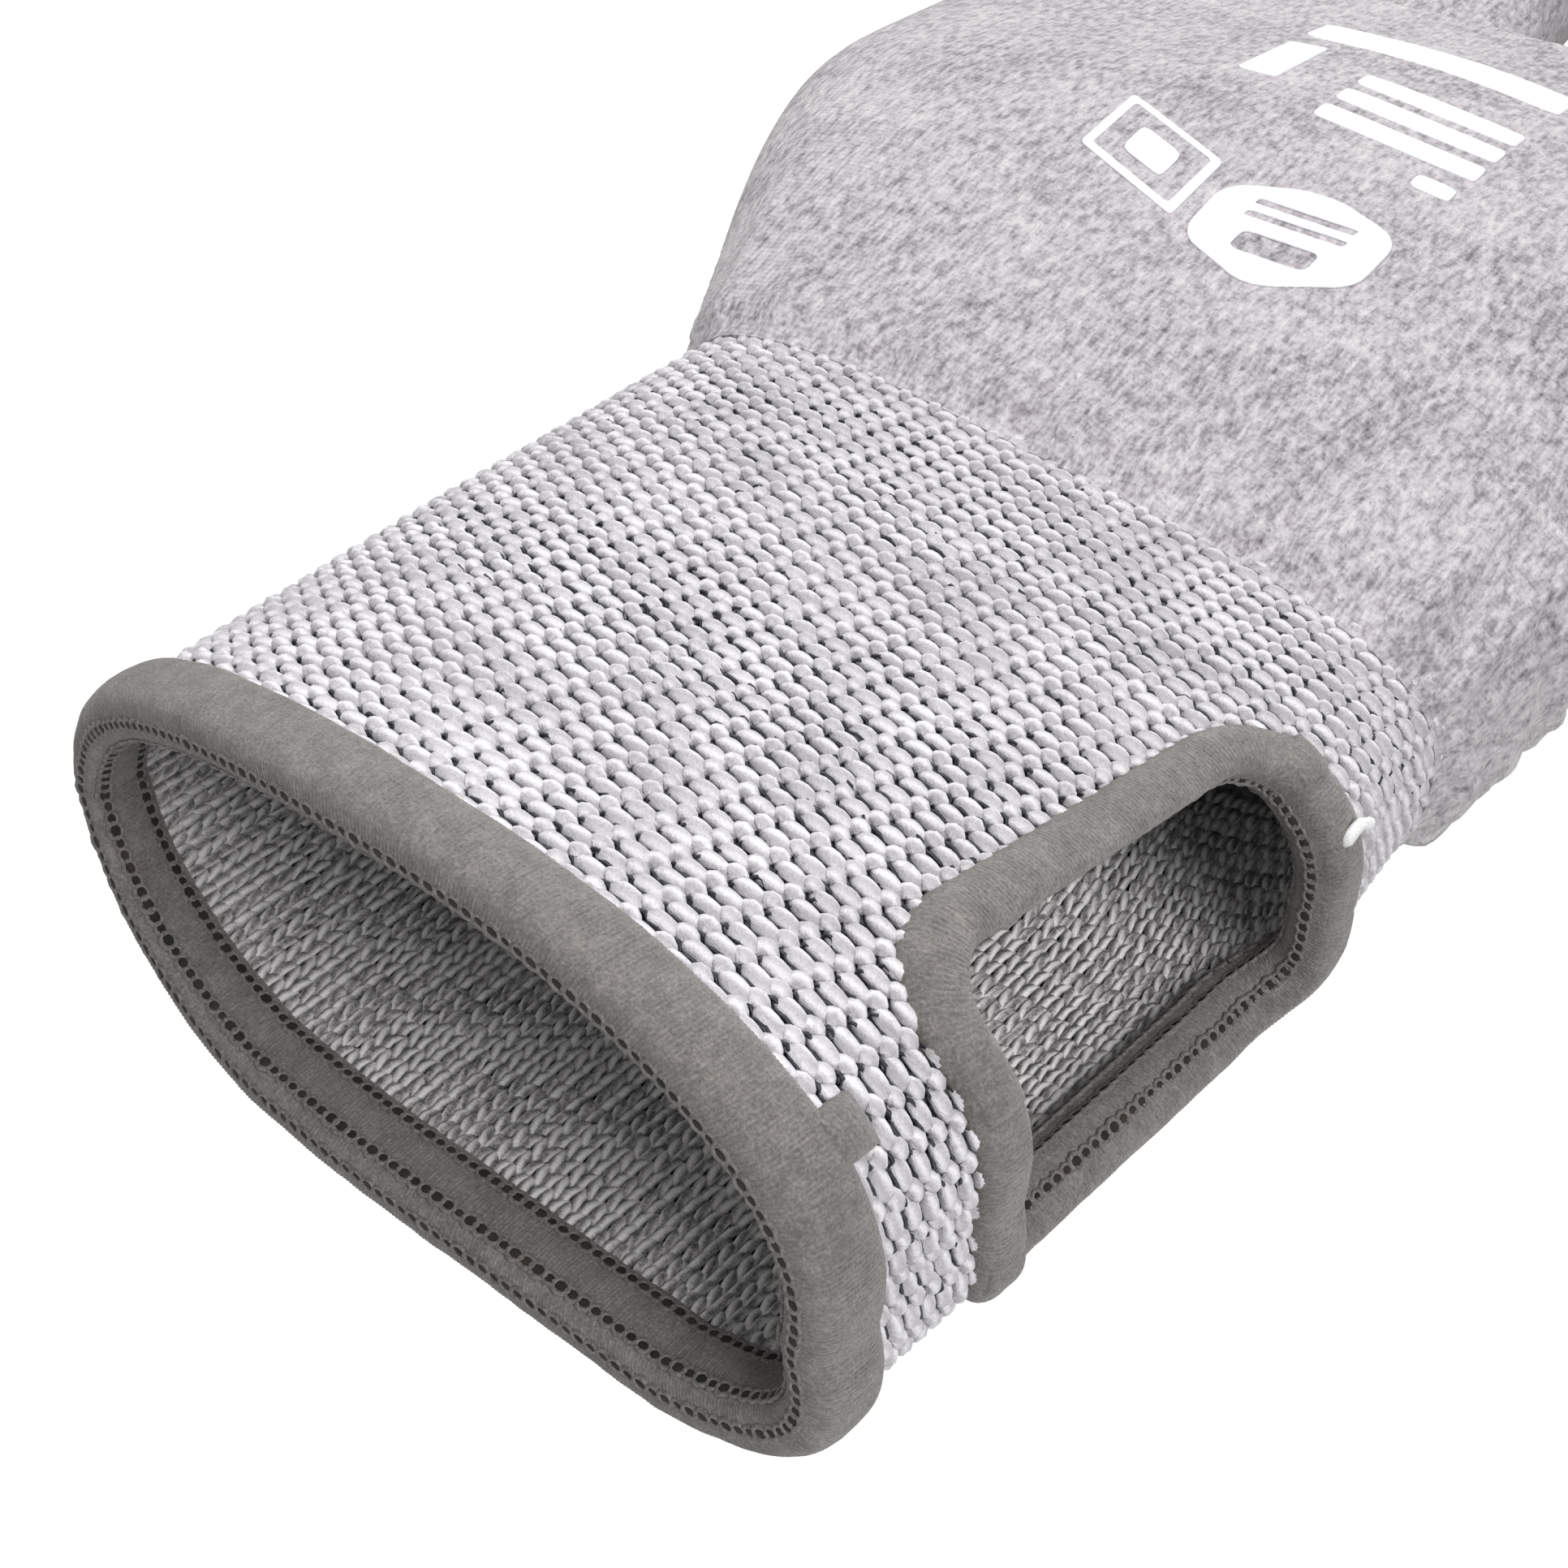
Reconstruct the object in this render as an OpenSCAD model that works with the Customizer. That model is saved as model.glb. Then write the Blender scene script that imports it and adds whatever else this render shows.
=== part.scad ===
// Cut resistant knitted work glove, left hand, lying palm down.
// +Y runs from the cuff's mouth to the fingertips, +X is the thumb side, +Z is up.
// The origin is on the table, under the middle of the cuff's mouth.

/* [Cuff] */
// Length of the cuff, from its mouth to the hand
cuff_l = 68; // [62:1:90]
// Width across the mouth
cuff_w = 70; // [58:1:86]
// Height of the open mouth above the table
mouth_h = 34; // [28:1:42]
// How far the mouth slopes back at the little finger side
mouth_slope = 5; // [0:0.5:7]
// Width of the cuff where it meets the hand
wrist_w = 68; // [56:1:84]
// Height of the cuff where it meets the hand
wrist_h = 25; // [21:1:31]
// Thickness of the cuff knit
cuff_t = 2.2; // [1.6:0.1:2.8]

/* [Bound edges] */
// Width of the overlocked edge round the mouth
mouth_bind_w = 5.8; // [4.6:0.1:7]
// Width of the overlocked edge round the window
win_bind_w = 3; // [2.8:0.1:4.6]
// Depth of thread on each face of the knit
bind_t = 0.9; // [0.7:0.1:1.2]
// Distance that an overlock stands beyond the knit's cut edge
bind_lip = 1; // [0.8:0.1:1.4]
// Radius of the chain stitched thread
chain_r = 0.35; // [0.25:0.05:0.45]

/* [Window] */
// Distance from the mouth to the knit's edge at the window
win_y = 17.5; // [14.5:0.5:21]
// Length of the hole in the knit, along the cuff
win_l = 33.5; // [24:0.5:37]
// Palm side edge of the window, in degrees round the cuff
win_lo = -31; // [-45:1:-24]
// Back side edge of the window, in degrees round the cuff
win_hi = 49; // [36:1:60]

/* [Hand] */
// Lean of the hand towards the little finger, in degrees
lean = 10; // [0:0.5:12]
// Length from the cuff's end to the finger crotches
hand_l = 98; // [85:1:120]
// Thickness of the palm and back together, as it lies
palm_h = 28; // [23:1:34]
// Thickness of the hand knit
hand_t = 1.4; // [1.1:0.1:1.8]

/* [Fingers] */
// Width of a finger at its root
finger_w = 24; // [20:0.5:29]
// Thickness of a finger as it lies
finger_h = 16; // [13:0.5:20]
// Space between two fingers at the crotch
crotch_gap = 1; // [0.6:0.1:2]
// Length of the index finger
index_l = 74; // [62:1:90]
// Length of the middle finger
middle_l = 82; // [68:1:99]
// Length of the ring finger
ring_l = 76; // [63:1:92]
// Length of the little finger
little_l = 60; // [56:1:72]
// Length of the thumb, from its web to its tip
thumb_l = 64; // [58:1:77]
// Width of the thumb
thumb_w = 27; // [22:0.5:32]
// Largest bend of a finger at each of its two joints, in degrees
finger_bend = 80; // [40:1:85]
// Largest bend of the thumb at its web, in degrees
thumb_bend = 50; // [20:1:60]
// Largest bend of the thumb's tip, in degrees
thumb_tip_bend = 70; // [30:1:80]

/* [Print] */
// Thickness of the transfer print
print_t = 0.25; // [0.15:0.05:0.4]

/* [Hidden] */

knit_light = "#afadb2";
knit_dark = "#6f6c72";
thread_grey = "#6f6969";
hand_grey = "#b5b0b5";
print_white = "#f0f1f6";

cuff_sides = 36;       // sides of the cuff's shell
hand_sides = 32;       // sides of the wrist and the hand
finger_sides = 20;     // sides of a finger
press = 1.2;           // how far a soft bottom is pressed flat by the table
slit = 0.05;           // clearance between a thread and the knit that it wraps
gap = 0.3;             // clearance between shells that move apart

wrist_l = 16;          // length of soft knit between the cuff and the hand
tip_dome = 10;         // length of a fingertip's rounded end

palm_w = 4 * (finger_w + crotch_gap);
hand_y = cuff_l - 2;   // the hand's own length starts here, under the cuff's last rows
hand_x = -1.5;         // and this far towards the little finger

// ---------- shapes shared by every shell ----------

function lerp(a, b, k) = a + (b - a) * k;
function clamp01(k) = max(0, min(1, k));
function smooth(k) = let (c = clamp01(k)) c * c * (3 - 2 * c);
function signed_pow(v, e) = sign(v) * pow(abs(v), e);

// A section is [middle x, half width, middle z, rise, drop, roundness above, roundness below,
// shift above, shift below, lowest z].
function section_point(q, t) =
  let (s = sin(t), n = s >= 0 ? q[5] : q[6],
       w = signed_pow(s, 2 / n),
       x = q[0] + q[1] * signed_pow(cos(t), 2 / n) + (s >= 0 ? q[7] : -q[8]) * w,
       z = q[2] + (s >= 0 ? q[3] : q[4]) * w)
  [x, max(q[9], z)];

function inset(q, t) = [q[0], q[1] - t, q[2], q[3] - t, q[4] - t, q[5], q[6], q[7], q[8], q[9] + t];

// A frame is [x, y, turn towards -X].
function place(p, f) =
  [f[0] + p[0] * cos(f[2]) - p[1] * sin(f[2]), f[1] + p[0] * sin(f[2]) + p[1] * cos(f[2]), p[2]];

function ring(q, v, f, angles) =
  [for (t = angles) let (p = section_point(q, t)) place([p[0], v, p[1]], f)];

function even_angles(n) = [for (i = [0 : n - 1]) 360 * i / n];

// Two triangles for each cell between ring j and ring j + 1 of n points.
function cell(a, b, c, d) = [[a, b, c], [a, c, d]];
function wall_faces(rings, n, first, outward) =
  [for (j = [0 : rings - 2]) for (i = [0 : n - 1])
    let (k = (i + 1) % n, a = first + j * n + i, b = first + j * n + k,
         c = first + (j + 1) * n + k, d = first + (j + 1) * n + i)
    each outward ? cell(a, b, c, d) : cell(a, d, c, b)];
function rim_faces(outer, inner, n, towards_start) =
  [for (i = [0 : n - 1]) let (k = (i + 1) % n)
    each towards_start ? cell(outer + i, inner + i, inner + k, outer + k)
                       : cell(outer + i, outer + k, inner + k, inner + i)];
function fan_faces(first, n, pole, outward) =
  [for (i = [0 : n - 1]) let (k = (i + 1) % n)
    outward ? [first + i, first + k, pole] : [first + k, first + i, pole]];
function flat(rings) = [for (r = rings) each r];
function middle(r) = [for (k = [0 : 2]) lerp(min([for (p = r) p[k]]), max([for (p = r) p[k]]), 0.5)];

// An open tube: a wall between two lists of rings.
module tube(outer, inner) {
  n = len(outer[0]);
  m = len(outer);
  polyhedron(concat(flat(outer), flat(inner)),
    concat(wall_faces(m, n, 0, true), wall_faces(m, n, m * n, false),
           rim_faces(0, m * n, n, true), rim_faces((m - 1) * n, (2 * m - 1) * n, n, false)));
}

// A tube with a rounded, closed end.
module fingertip(outer, inner) {
  n = len(outer[0]);
  m = len(outer);
  k = len(inner);
  polyhedron(concat(flat(outer), flat(inner), [middle(outer[m - 1]), middle(inner[k - 1])]),
    concat(wall_faces(m, n, 0, true), wall_faces(k, n, m * n, false),
           rim_faces(0, m * n, n, true),
           fan_faces((m - 1) * n, n, (m + k) * n, true),
           fan_faces((m + k - 1) * n, n, (m + k) * n + 1, false)));
}

// An open tube with a hole in its side: rows and cols of cells are left out, from row and column 0.
module holed_tube(outer, inner, row, rows, cols) {
  n = len(outer[0]);
  m = len(outer);
  h = m * n;
  last = row + rows;
  polyhedron(concat(flat(outer), flat(inner)),
    concat(
      [for (j = [0 : m - 2]) for (i = [0 : n - 1])
        if (!(j >= row && j < last && i < cols))
          let (k = (i + 1) % n, a = j * n + i, b = j * n + k, c = b + n, d = a + n)
          each concat(cell(a, b, c, d), cell(h + a, h + d, h + c, h + b))],
      rim_faces(0, h, n, true), rim_faces((m - 1) * n, h + (m - 1) * n, n, false),
      [for (i = [0 : cols - 1]) let (a = row * n + i, b = last * n + i)
        each concat(cell(a, a + 1, h + a + 1, h + a), cell(b, h + b, h + b + 1, b + 1))],
      [for (j = [row : last - 1]) let (a = j * n, b = j * n + cols)
        each concat(cell(a + n, a, h + a, h + a + n), cell(b, b + n, h + b + n, h + b))]));
}

// A solid through a list of rings, closed at both ends.
module loft(rings) {
  n = len(rings[0]);
  m = len(rings);
  polyhedron(concat(flat(rings), [middle(rings[0]), middle(rings[m - 1])]),
    concat(wall_faces(m, n, 0, true), fan_faces(0, n, m * n, false),
           fan_faces((m - 1) * n, n, m * n + 1, true)));
}

// A solid swept round a closed path: outlines is a list of equal closed outlines.
module closed_sweep(outlines) {
  n = len(outlines[0]);
  m = len(outlines);
  polyhedron(flat(outlines),
    [for (j = [0 : m - 1]) for (i = [0 : n - 1])
      let (k = (i + 1) % n, l = (j + 1) % m)
      each cell(j * n + i, j * n + k, l * n + k, l * n + i)]);
}

// A thin plate over a grid of points: low and high hold rows of points.
module plate(low, high) {
  r = len(low);
  c = len(low[0]);
  polyhedron(concat(flat(low), flat(high)),
    [for (j = [0 : r - 2]) for (i = [0 : c - 2])
      let (a = j * c + i, h = r * c)
      each concat(cell(a, a + 1, a + c + 1, a + c), cell(h + a, h + a + c, h + a + c + 1, h + a + 1)),
     for (i = [0 : c - 2]) let (h = r * c, e = (r - 1) * c + i)
      each concat(cell(i, h + i, h + i + 1, i + 1), cell(e, e + 1, h + e + 1, h + e)),
     for (j = [0 : r - 2]) let (h = r * c, a = j * c, b = j * c + c - 1)
      each concat(cell(a, a + c, h + a + c, h + a), cell(b, h + b, h + b + c, b + c))]);
}

// ---------- cuff ----------

mouth_mid = 0.4 * (mouth_h - 2 * bind_t) + bind_t;   // height of the mouth's widest place
wrist_mid = 0.56 * wrist_h;                           // and of the wrist's
mouth_x = -1.8;        // place of the mouth's middle, across the cuff
wrist_x = -1;          // and of the wrist's, before it is drawn in
wrist_draw = 1.5;      // how far the thumb side is drawn in at the wrist

function cuff_q(y) =
  let (k = clamp01(y / cuff_l), mid = lerp(mouth_mid, wrist_mid, k),
       top = lerp(mouth_h - bind_t, wrist_h, pow(k, 1.1)),
       near = smooth((k - 0.65) / 0.35), draw = wrist_draw * near,
       half = lerp(cuff_w / 2 - bind_t, wrist_w / 2 + wrist_draw, k) - draw)
  [lerp(mouth_x, wrist_x, k) - draw, half, mid, top - mid, mid - bind_t + press,
   lerp(2.15, 3.3, k), lerp(2.6, 2.8, k) - 0.5 * near, 3 * (1 - k), 4.5 * (1 - k), bind_t];

// A point of the cuff's wall: s is 0 on its inner face and cuff_t on its outer face.
function cuff_point(y, t, s) =
  let (q = cuff_q(y), o = section_point(q, t), i = section_point(inset(q, cuff_t), t),
       p = i + (o - i) * s / cuff_t,
       side = max(0, q[0] - p[0]) / q[1],
       back = mouth_slope * side * side * pow(1 - clamp01(y / cuff_l), 2))
  [p[0], y + back, p[1]];

win_end = win_y + win_l;
win_mid = win_y + win_l / 2;
win_steps = 9;
back_steps = cuff_sides - win_steps;
cuff_angles = [for (i = [0 : win_steps]) lerp(win_lo, win_hi, i / win_steps),
               for (i = [1 : back_steps - 1]) lerp(win_hi, 360 + win_lo, i / back_steps)];
cuff_rows = concat([bind_lip, mouth_bind_w, lerp(mouth_bind_w, win_y, 0.5)],
                   [for (i = [0 : 5]) lerp(win_y, win_end, i / 5)],
                   [for (i = [1 : 3]) lerp(win_end, cuff_l, i / 3)]);
win_row = 3;           // the row of the grid where the hole starts
win_rows = 5;          // rows of cells that the hole takes away

module cuff_knit() {
  color(knit_light)
    holed_tube([for (y = cuff_rows) [for (t = cuff_angles) cuff_point(y, t, cuff_t)]],
               [for (y = cuff_rows) [for (t = cuff_angles) cuff_point(y, t, 0)]],
               win_row, win_rows, win_steps);
}

// Yarns of elastic laid against the inner face, open where the window is.
yarn_t = 0.45;
yarn_rows = [9.5, 14, 24, 33, 42, 55, 61];
yarn_clear = 2.5;      // space left free beside the window's binding
yarn_steps = 24;
function yarn_outline(y, t) = [for (c = [[0, 0], [0, -1], [1, -1], [1, 0]])
  cuff_point(y + c[0] * yarn_t, t, c[1] * yarn_t - gap)];

module cuff_elastic_yarns() {
  color(knit_dark)
    for (y = yarn_rows) {
      if (y < win_y - win_bind_w - yarn_t || y > win_end + win_bind_w) {
        closed_sweep([for (t = cuff_angles) yarn_outline(y, t)]);
      } else {
        free = win_bind_w + yarn_clear;
        start = win_hi + free * turn_hi;
        end = 360 + win_lo - free * turn_lo;
        loft([for (i = [0 : yarn_steps]) yarn_outline(y, lerp(start, end, i / yarn_steps))]);
      }
    }
}

// The overlock is a U of thread: each pair is [distance from the edge, through the wall].
function u_outline(w, lip) = [
  [w, cuff_t + slit], [w, cuff_t + 0.6 * bind_t], [0.7 * w, cuff_t + bind_t],
  [0.25, cuff_t + 0.9 * bind_t], [-0.75 * lip, 0.82 * cuff_t], [-lip, 0.5 * cuff_t],
  [-0.75 * lip, 0.18 * cuff_t], [0.25, -0.9 * bind_t], [0.7 * w, -bind_t],
  [w, -0.6 * bind_t], [w, -slit], [-slit, -slit], [-slit, cuff_t + slit]];

function small_outline(r, e, s) = [for (a = [0 : 60 : 300]) [e + r * cos(a), s - r * sin(a)]];

module mouth_sweep(outline) {
  closed_sweep([for (t = cuff_angles) [for (p = outline) cuff_point(bind_lip + p[0], t, p[1])]]);
}

module mouth_binding() {
  color(thread_grey) mouth_sweep(u_outline(mouth_bind_w - bind_lip, bind_lip));
}

module mouth_chain_threads() {
  color(knit_dark) {
    mouth_sweep(small_outline(chain_r, 0.4, -bind_t - chain_r));
    mouth_sweep(small_outline(chain_r, mouth_bind_w - bind_lip - 0.8, -bind_t - chain_r));
  }
}

// A raised piece of thread lying over an edge, between two lengths and two angles.
module over_edge(y0, y1, t0, t1, s0, s1) {
  rows = [for (i = [0 : 3]) lerp(y0, y1, i / 3)];
  turns = [for (i = [0 : 3]) lerp(t0, t1, i / 3)];
  plate([for (y = rows) [for (t = turns) cuff_point(y, t, s0)]],
        [for (y = rows) [for (t = turns) cuff_point(y, t, s1)]]);
}

bind_top = cuff_t + bind_t;      // the face of an overlock, through the wall
tack_y = mouth_bind_w - 1.6;
tack_l = 2.8;
tack_turns = [34, 41];
tack_t = 0.5;
module mouth_tack() {
  color(thread_grey)
    over_edge(tack_y, tack_y + tack_l, tack_turns[0], tack_turns[1], bind_top, bind_top + tack_t);
}

// Degrees round the section for each millimetre of its surface.
function degrees_per_mm(t) =
  1 / norm(cuff_point(win_mid, t + 0.5, cuff_t) - cuff_point(win_mid, t - 0.5, cuff_t));
turn_lo = degrees_per_mm(win_lo);
turn_hi = degrees_per_mm(win_hi);

// A point beside the window: side and share say where along its edge, e how far from the edge.
function window_point(side, share, e, s) =
  let (y0 = win_y - e, y1 = win_end + e, t0 = win_lo - e * turn_lo, t1 = win_hi + e * turn_hi,
       yt = side == 0 ? [y0, lerp(t1, t0, share)] : side == 1 ? [lerp(y0, y1, share), t0]
          : side == 2 ? [y1, lerp(t0, t1, share)] : [lerp(y1, y0, share), t1])
  cuff_point(yt[0], yt[1], s);

module window_sweep(outline) {
  closed_sweep([for (side = [0 : 3]) for (k = [0 : win_steps - 1])
    [for (p = outline) window_point(side, k / win_steps, p[0], p[1])]]);
}

module window_binding() {
  color(thread_grey) window_sweep(u_outline(win_bind_w, bind_lip));
}

module window_chain_threads() {
  color(knit_dark) {
    window_sweep(small_outline(chain_r, 0.6, -bind_t - chain_r));
    window_sweep(small_outline(chain_r, win_bind_w - 0.8, -bind_t - chain_r));
  }
}

// Where the overlock runs over itself: [degrees from, degrees to] on the mouth side and at a corner.
join_turns = [[22, 26], [-14, -10]];
join_t = 0.4;
corner_turns = [win_hi - 12, win_hi - 4];
corner_t = 0.6;
module window_binding_joins() {
  color(thread_grey) {
    for (t = join_turns)
      over_edge(win_y - win_bind_w, win_y, t[0], t[1], bind_top, bind_top + join_t);
    over_edge(win_end, win_end + win_bind_w, corner_turns[0], corner_turns[1],
              bind_top, bind_top + corner_t);
  }
}

tail_r = 0.3;
tail_l = 3;
tail_turn = 20;        // place of the thread's end, in degrees round the cuff
tail_lean = 20;
module thread_tail() {
  root = cuff_point(win_end + 1, tail_turn, bind_top + tail_r + 2 * gap);
  color(print_white) translate(root) rotate([-90, 0, tail_lean]) cylinder(h = tail_l, r = tail_r, $fn = 16);
}

// ---------- hand ----------

hand_f = [hand_x, hand_y, lean];
wrist_half = wrist_w / 2;
function hand_q(v) =
  let (left = wrist_half + (palm_w / 2 - wrist_half) * pow(sin(90 * min(1, v / 58)), 1.5),
       right = wrist_half + (palm_w / 2 - wrist_half) * smooth((v - 8) / 42),
       rise = (palm_h - wrist_h) * sin(180 * clamp01(v / hand_l)),
       fall = (wrist_h - finger_h - 2) * smooth((v - 45) / (hand_l - 45)),
       top = wrist_h + rise - fall, mid = top / 2)
  [(right - left) / 2, (right + left) / 2, mid, top - mid, mid + press,
   lerp(3.2, 2.7, clamp01(v / 40)), lerp(2.3, 2.8, clamp01(v / 40)), 0, 0, 0];

hand_v0 = wrist_l + 2;
thumb_low = 26;        // distance from the wrist at which the thumb's hole starts
thumb_high = 60;       // and where it ends, at the web
hand_rows = concat([hand_v0], [for (i = [0 : 4]) lerp(thumb_low, thumb_high, i / 4)],
                   [for (i = [1 : 4]) lerp(thumb_high, hand_l, i / 4)]);
thumb_row = 1;         // the row of the grid where the thumb's hole starts
thumb_rows = 4;        // rows and columns of cells that it takes away
thumb_cols = 6;
even_turn = 360 / hand_sides;
hand_angles = [for (i = [0 : hand_sides - 1]) (i - thumb_cols / 2) * even_turn];

module wrist_knit() {
  steps = 4;
  cuff_o = ring(cuff_q(cuff_l), cuff_l + gap, [0, 0, 0], hand_angles);
  cuff_i = ring(inset(cuff_q(cuff_l), hand_t), cuff_l + gap, [0, 0, 0], hand_angles);
  hand_o = ring(hand_q(hand_v0 - gap), hand_v0 - gap, hand_f, hand_angles);
  hand_i = ring(inset(hand_q(hand_v0 - gap), hand_t), hand_v0 - gap, hand_f, hand_angles);
  color(hand_grey)
    tube([for (k = [0 : steps]) lerp(cuff_o, hand_o, k / steps)],
         [for (k = [0 : steps]) lerp(cuff_i, hand_i, k / steps)]);
}

// Length of each digit and its own turn towards -X, from the little finger to the thumb.
digit_l = [little_l, ring_l, middle_l, index_l, thumb_l];
digit_fan = [7, 2.5, -1, -4.5, -38];
little = 0;
ring_f = 1;
middle_f = 2;
index = 3;
thumb = 4;
thumb_root = [palm_w * 0.34, hand_l * 0.2];   // where the thumb's own line starts, in the hand
web = 43 * thumb_w / 27;                      // from there to the thumb's web

function digit_w(d) = d == thumb ? thumb_w : d == little ? finger_w - 1.5 : finger_w;
function digit_h(d) = d == thumb ? finger_h + 1.5 : finger_h;
function digit_frame(d) =
  let (clear = finger_w / 2 * sin(abs(digit_fan[d])),
       root = d == thumb ? thumb_root : [(d - 1.5) * (finger_w + crotch_gap), hand_l + clear],
       p = place([root[0], root[1], 0], hand_f))
  [p[0], p[1], lean + digit_fan[d]];
function digit_end(d) = d == thumb ? web + thumb_l : digit_l[d];

// Section of a digit at the distance s from its frame's start, drawn in over the rounded tip.
function digit_q(d, s) =
  let (w = digit_w(d), h = digit_h(d), reach = digit_end(d),
       slim = 1 - 0.14 * clamp01(s / reach),
       over = clamp01((s - reach + tip_dome) / tip_dome),
       dome = sqrt(max(0, 1 - over * over)),
       half = slim * w / 2 * max(0.02, dome), mid = h / 2,
       tall = h / 2 * (1 - 0.12 * clamp01(s / reach)) * max(0.02, pow(dome, 0.8)))
  [0, half, mid, tall, tall + press * dome, 2.5, 2.6, 0, 0, 0];

digit_angles = even_angles(finger_sides);
function digit_ring(d, s, t) =
  ring(t == 0 ? digit_q(d, s) : inset(digit_q(d, s), t), s, digit_frame(d), digit_angles);

// Soft knit at a joint is long enough for the firm tubes beside it to clear each other.
function bend_l(h, angle) = h * tan(angle / 2) + 1.6;
function first_bend(d) = bend_l(digit_h(d), d == thumb ? thumb_bend : finger_bend);
function second_bend(d) = bend_l(digit_h(d), d == thumb ? thumb_tip_bend : finger_bend);
function first_start(d) = d == thumb ? web + 7 : 0;
function first_end(d) = first_start(d) + first_bend(d);
function second_start(d) =
  (d == thumb ? web + 0.56 * thumb_l : 0.56 * digit_l[d]) - second_bend(d) / 2;
function second_end(d) = second_start(d) + second_bend(d);

module digit_tube(d, s0, s1, steps, shade) {
  color(shade)
    tube([for (k = [0 : steps]) digit_ring(d, lerp(s0, s1, k / steps), 0)],
         [for (k = [0 : steps]) digit_ring(d, lerp(s0, s1, k / steps), hand_t)]);
}
module knuckle(d) { digit_tube(d, first_start(d) + gap, first_end(d) - gap, 3, hand_grey); }
module lower_finger(d) { digit_tube(d, first_end(d), second_start(d), 2, hand_grey); }
module joint_knit(d) { digit_tube(d, second_start(d) + gap, second_end(d) - gap, 3, hand_grey); }

// Distances along a fingertip, closer together round its end.
function tip_rows(d, reach) =
  let (s0 = second_end(d), s1 = digit_end(d) - tip_dome)
  [s0, lerp(s0, s1, 0.5), for (k = [0 : 15 : 75]) s1 + reach * sin(k)];

// The inner face of a fingertip: the outer section, stretched to the outer dome and set in.
function inner_q(d, s) =
  let (s1 = digit_end(d) - tip_dome,
       at = s <= s1 ? s : s1 + (s - s1) * tip_dome / (tip_dome - hand_t),
       q = digit_q(d, at), k = max(0.05, 1 - hand_t / max(q[3], hand_t + 0.05)),
       w = max(0.05, 1 - hand_t / max(q[1], hand_t + 0.05)))
  [q[0], q[1] * w, q[2], q[3] * k, q[4] * k, q[5], q[6], 0, 0, hand_t];

module fingertip_knit(d) {
  inner_reach = tip_dome - hand_t;
  outer = [for (s = tip_rows(d, tip_dome)) digit_ring(d, s, 0)];
  inner = [for (s = tip_rows(d, inner_reach))
    ring(inner_q(d, s), s, digit_frame(d), digit_angles)];
  color(hand_grey) fingertip(outer, inner);
}
// The short bar of thread that closes a fingertip.
module tip_closure(d) {
  f = digit_frame(d);
  mid = place([0, digit_end(d) - 0.35, 0], f);
  color(knit_dark) translate([mid[0], mid[1], digit_h(d) / 2]) rotate([0, 90, f[2]])
    cylinder(h = 5, r = 0.55, center = true, $fn = 16);
}

module hand_knit() {
  color(hand_grey)
    holed_tube([for (v = hand_rows) ring(hand_q(v), v, hand_f, hand_angles)],
               [for (v = hand_rows) ring(inset(hand_q(v), hand_t), v, hand_f, hand_angles)],
               thumb_row, thumb_rows, thumb_cols);
}

// How far the hand's thumb side lies from its middle line, at the distance v and height z.
function hand_side(v, z) =
  let (q = hand_q(v), n = z >= q[2] ? q[5] : q[6],
       w = min(0.98, abs(z - q[2]) / (z >= q[2] ? q[3] : q[4])))
  q[0] + q[1] * pow(1 - pow(w, n), 1 / n);

// The gusset runs from the hole in the hand's side to the thumb's own tube.
gusset_round = 3;
gusset_clear = 1;    // its foot lies this far off the hand's side
module thumb_gusset_knit() {
  s1 = first_start(thumb);
  mid = digit_h(thumb) / 2;
  steps = 4;
  foot = [for (t = [0, hand_t]) [for (a = digit_angles)
    let (v = lerp(thumb_low, thumb_high, 0.5)
             - ((thumb_high - thumb_low) / 2 - t) * signed_pow(cos(a), 2 / gusset_round),
         z = max(t, mid + (mid + press - t) * signed_pow(sin(a), 2 / gusset_round)))
    place([hand_side(v, z) + gusset_clear, v, z], hand_f)]];
  tip = [for (t = [0, hand_t]) digit_ring(thumb, s1, t)];
  color(hand_grey)
    tube([for (k = [0 : steps]) lerp(foot[0], tip[0], k / steps)],
         [for (k = [0 : steps]) lerp(foot[1], tip[1], k / steps)]);
}

// Thread bars that strengthen the crotches between the fingers.
module crotch_stitches() {
  color(knit_dark)
    for (d = [little : middle_f]) {
      p = place([(d - 1) * (finger_w + crotch_gap), hand_l + 1, finger_h / 2], hand_f);
      translate(p) cylinder(h = finger_h * 0.4, r = 0.45, center = true, $fn = 16);
    }
}

// ---------- transfer print on the back of the hand ----------

lift = 0.15;           // the print's underside above the smooth back of the hand
function back_point(u, v, up) =
  let (q = hand_q(v), x = min(1, abs((u - q[0]) / q[1])))
  place([u, v, q[2] + q[3] * pow(1 - pow(x, q[5]), 1 / q[5]) + up], hand_f);

// A patch of print: each row is [v at its left, u at its left, v at its right, u at its right].
module patch(rows) {
  cols = 4;
  grid = [for (up = [lift, lift + print_t]) [for (r = rows) [for (i = [0 : cols])
    back_point(lerp(r[1], r[3], i / cols), lerp(r[0], r[2], i / cols), up)]]];
  plate(grid[0], grid[1]);
}
module bar(u0, u1, v0, v1, skew) {
  patch([for (k = [0 : 3]) let (v = lerp(v0, v1, k / 3)) [v, u0, v + skew, u1]]);
}

// A badge with rounded corners, taller than it is wide.
badge_u = 2.6;
badge_v = 33.5;
badge_half = [7.4, 8.5];
badge_round = 0.45;
module print_badge() {
  color(print_white)
    patch([for (k = [0 : 8])
      let (a = 10 + 20 * k, w = badge_half[0] * pow(sin(a), badge_round),
           v = badge_v - badge_half[1] * cos(a))
      [v, badge_u - w, v, badge_u + w]]);
}

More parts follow.
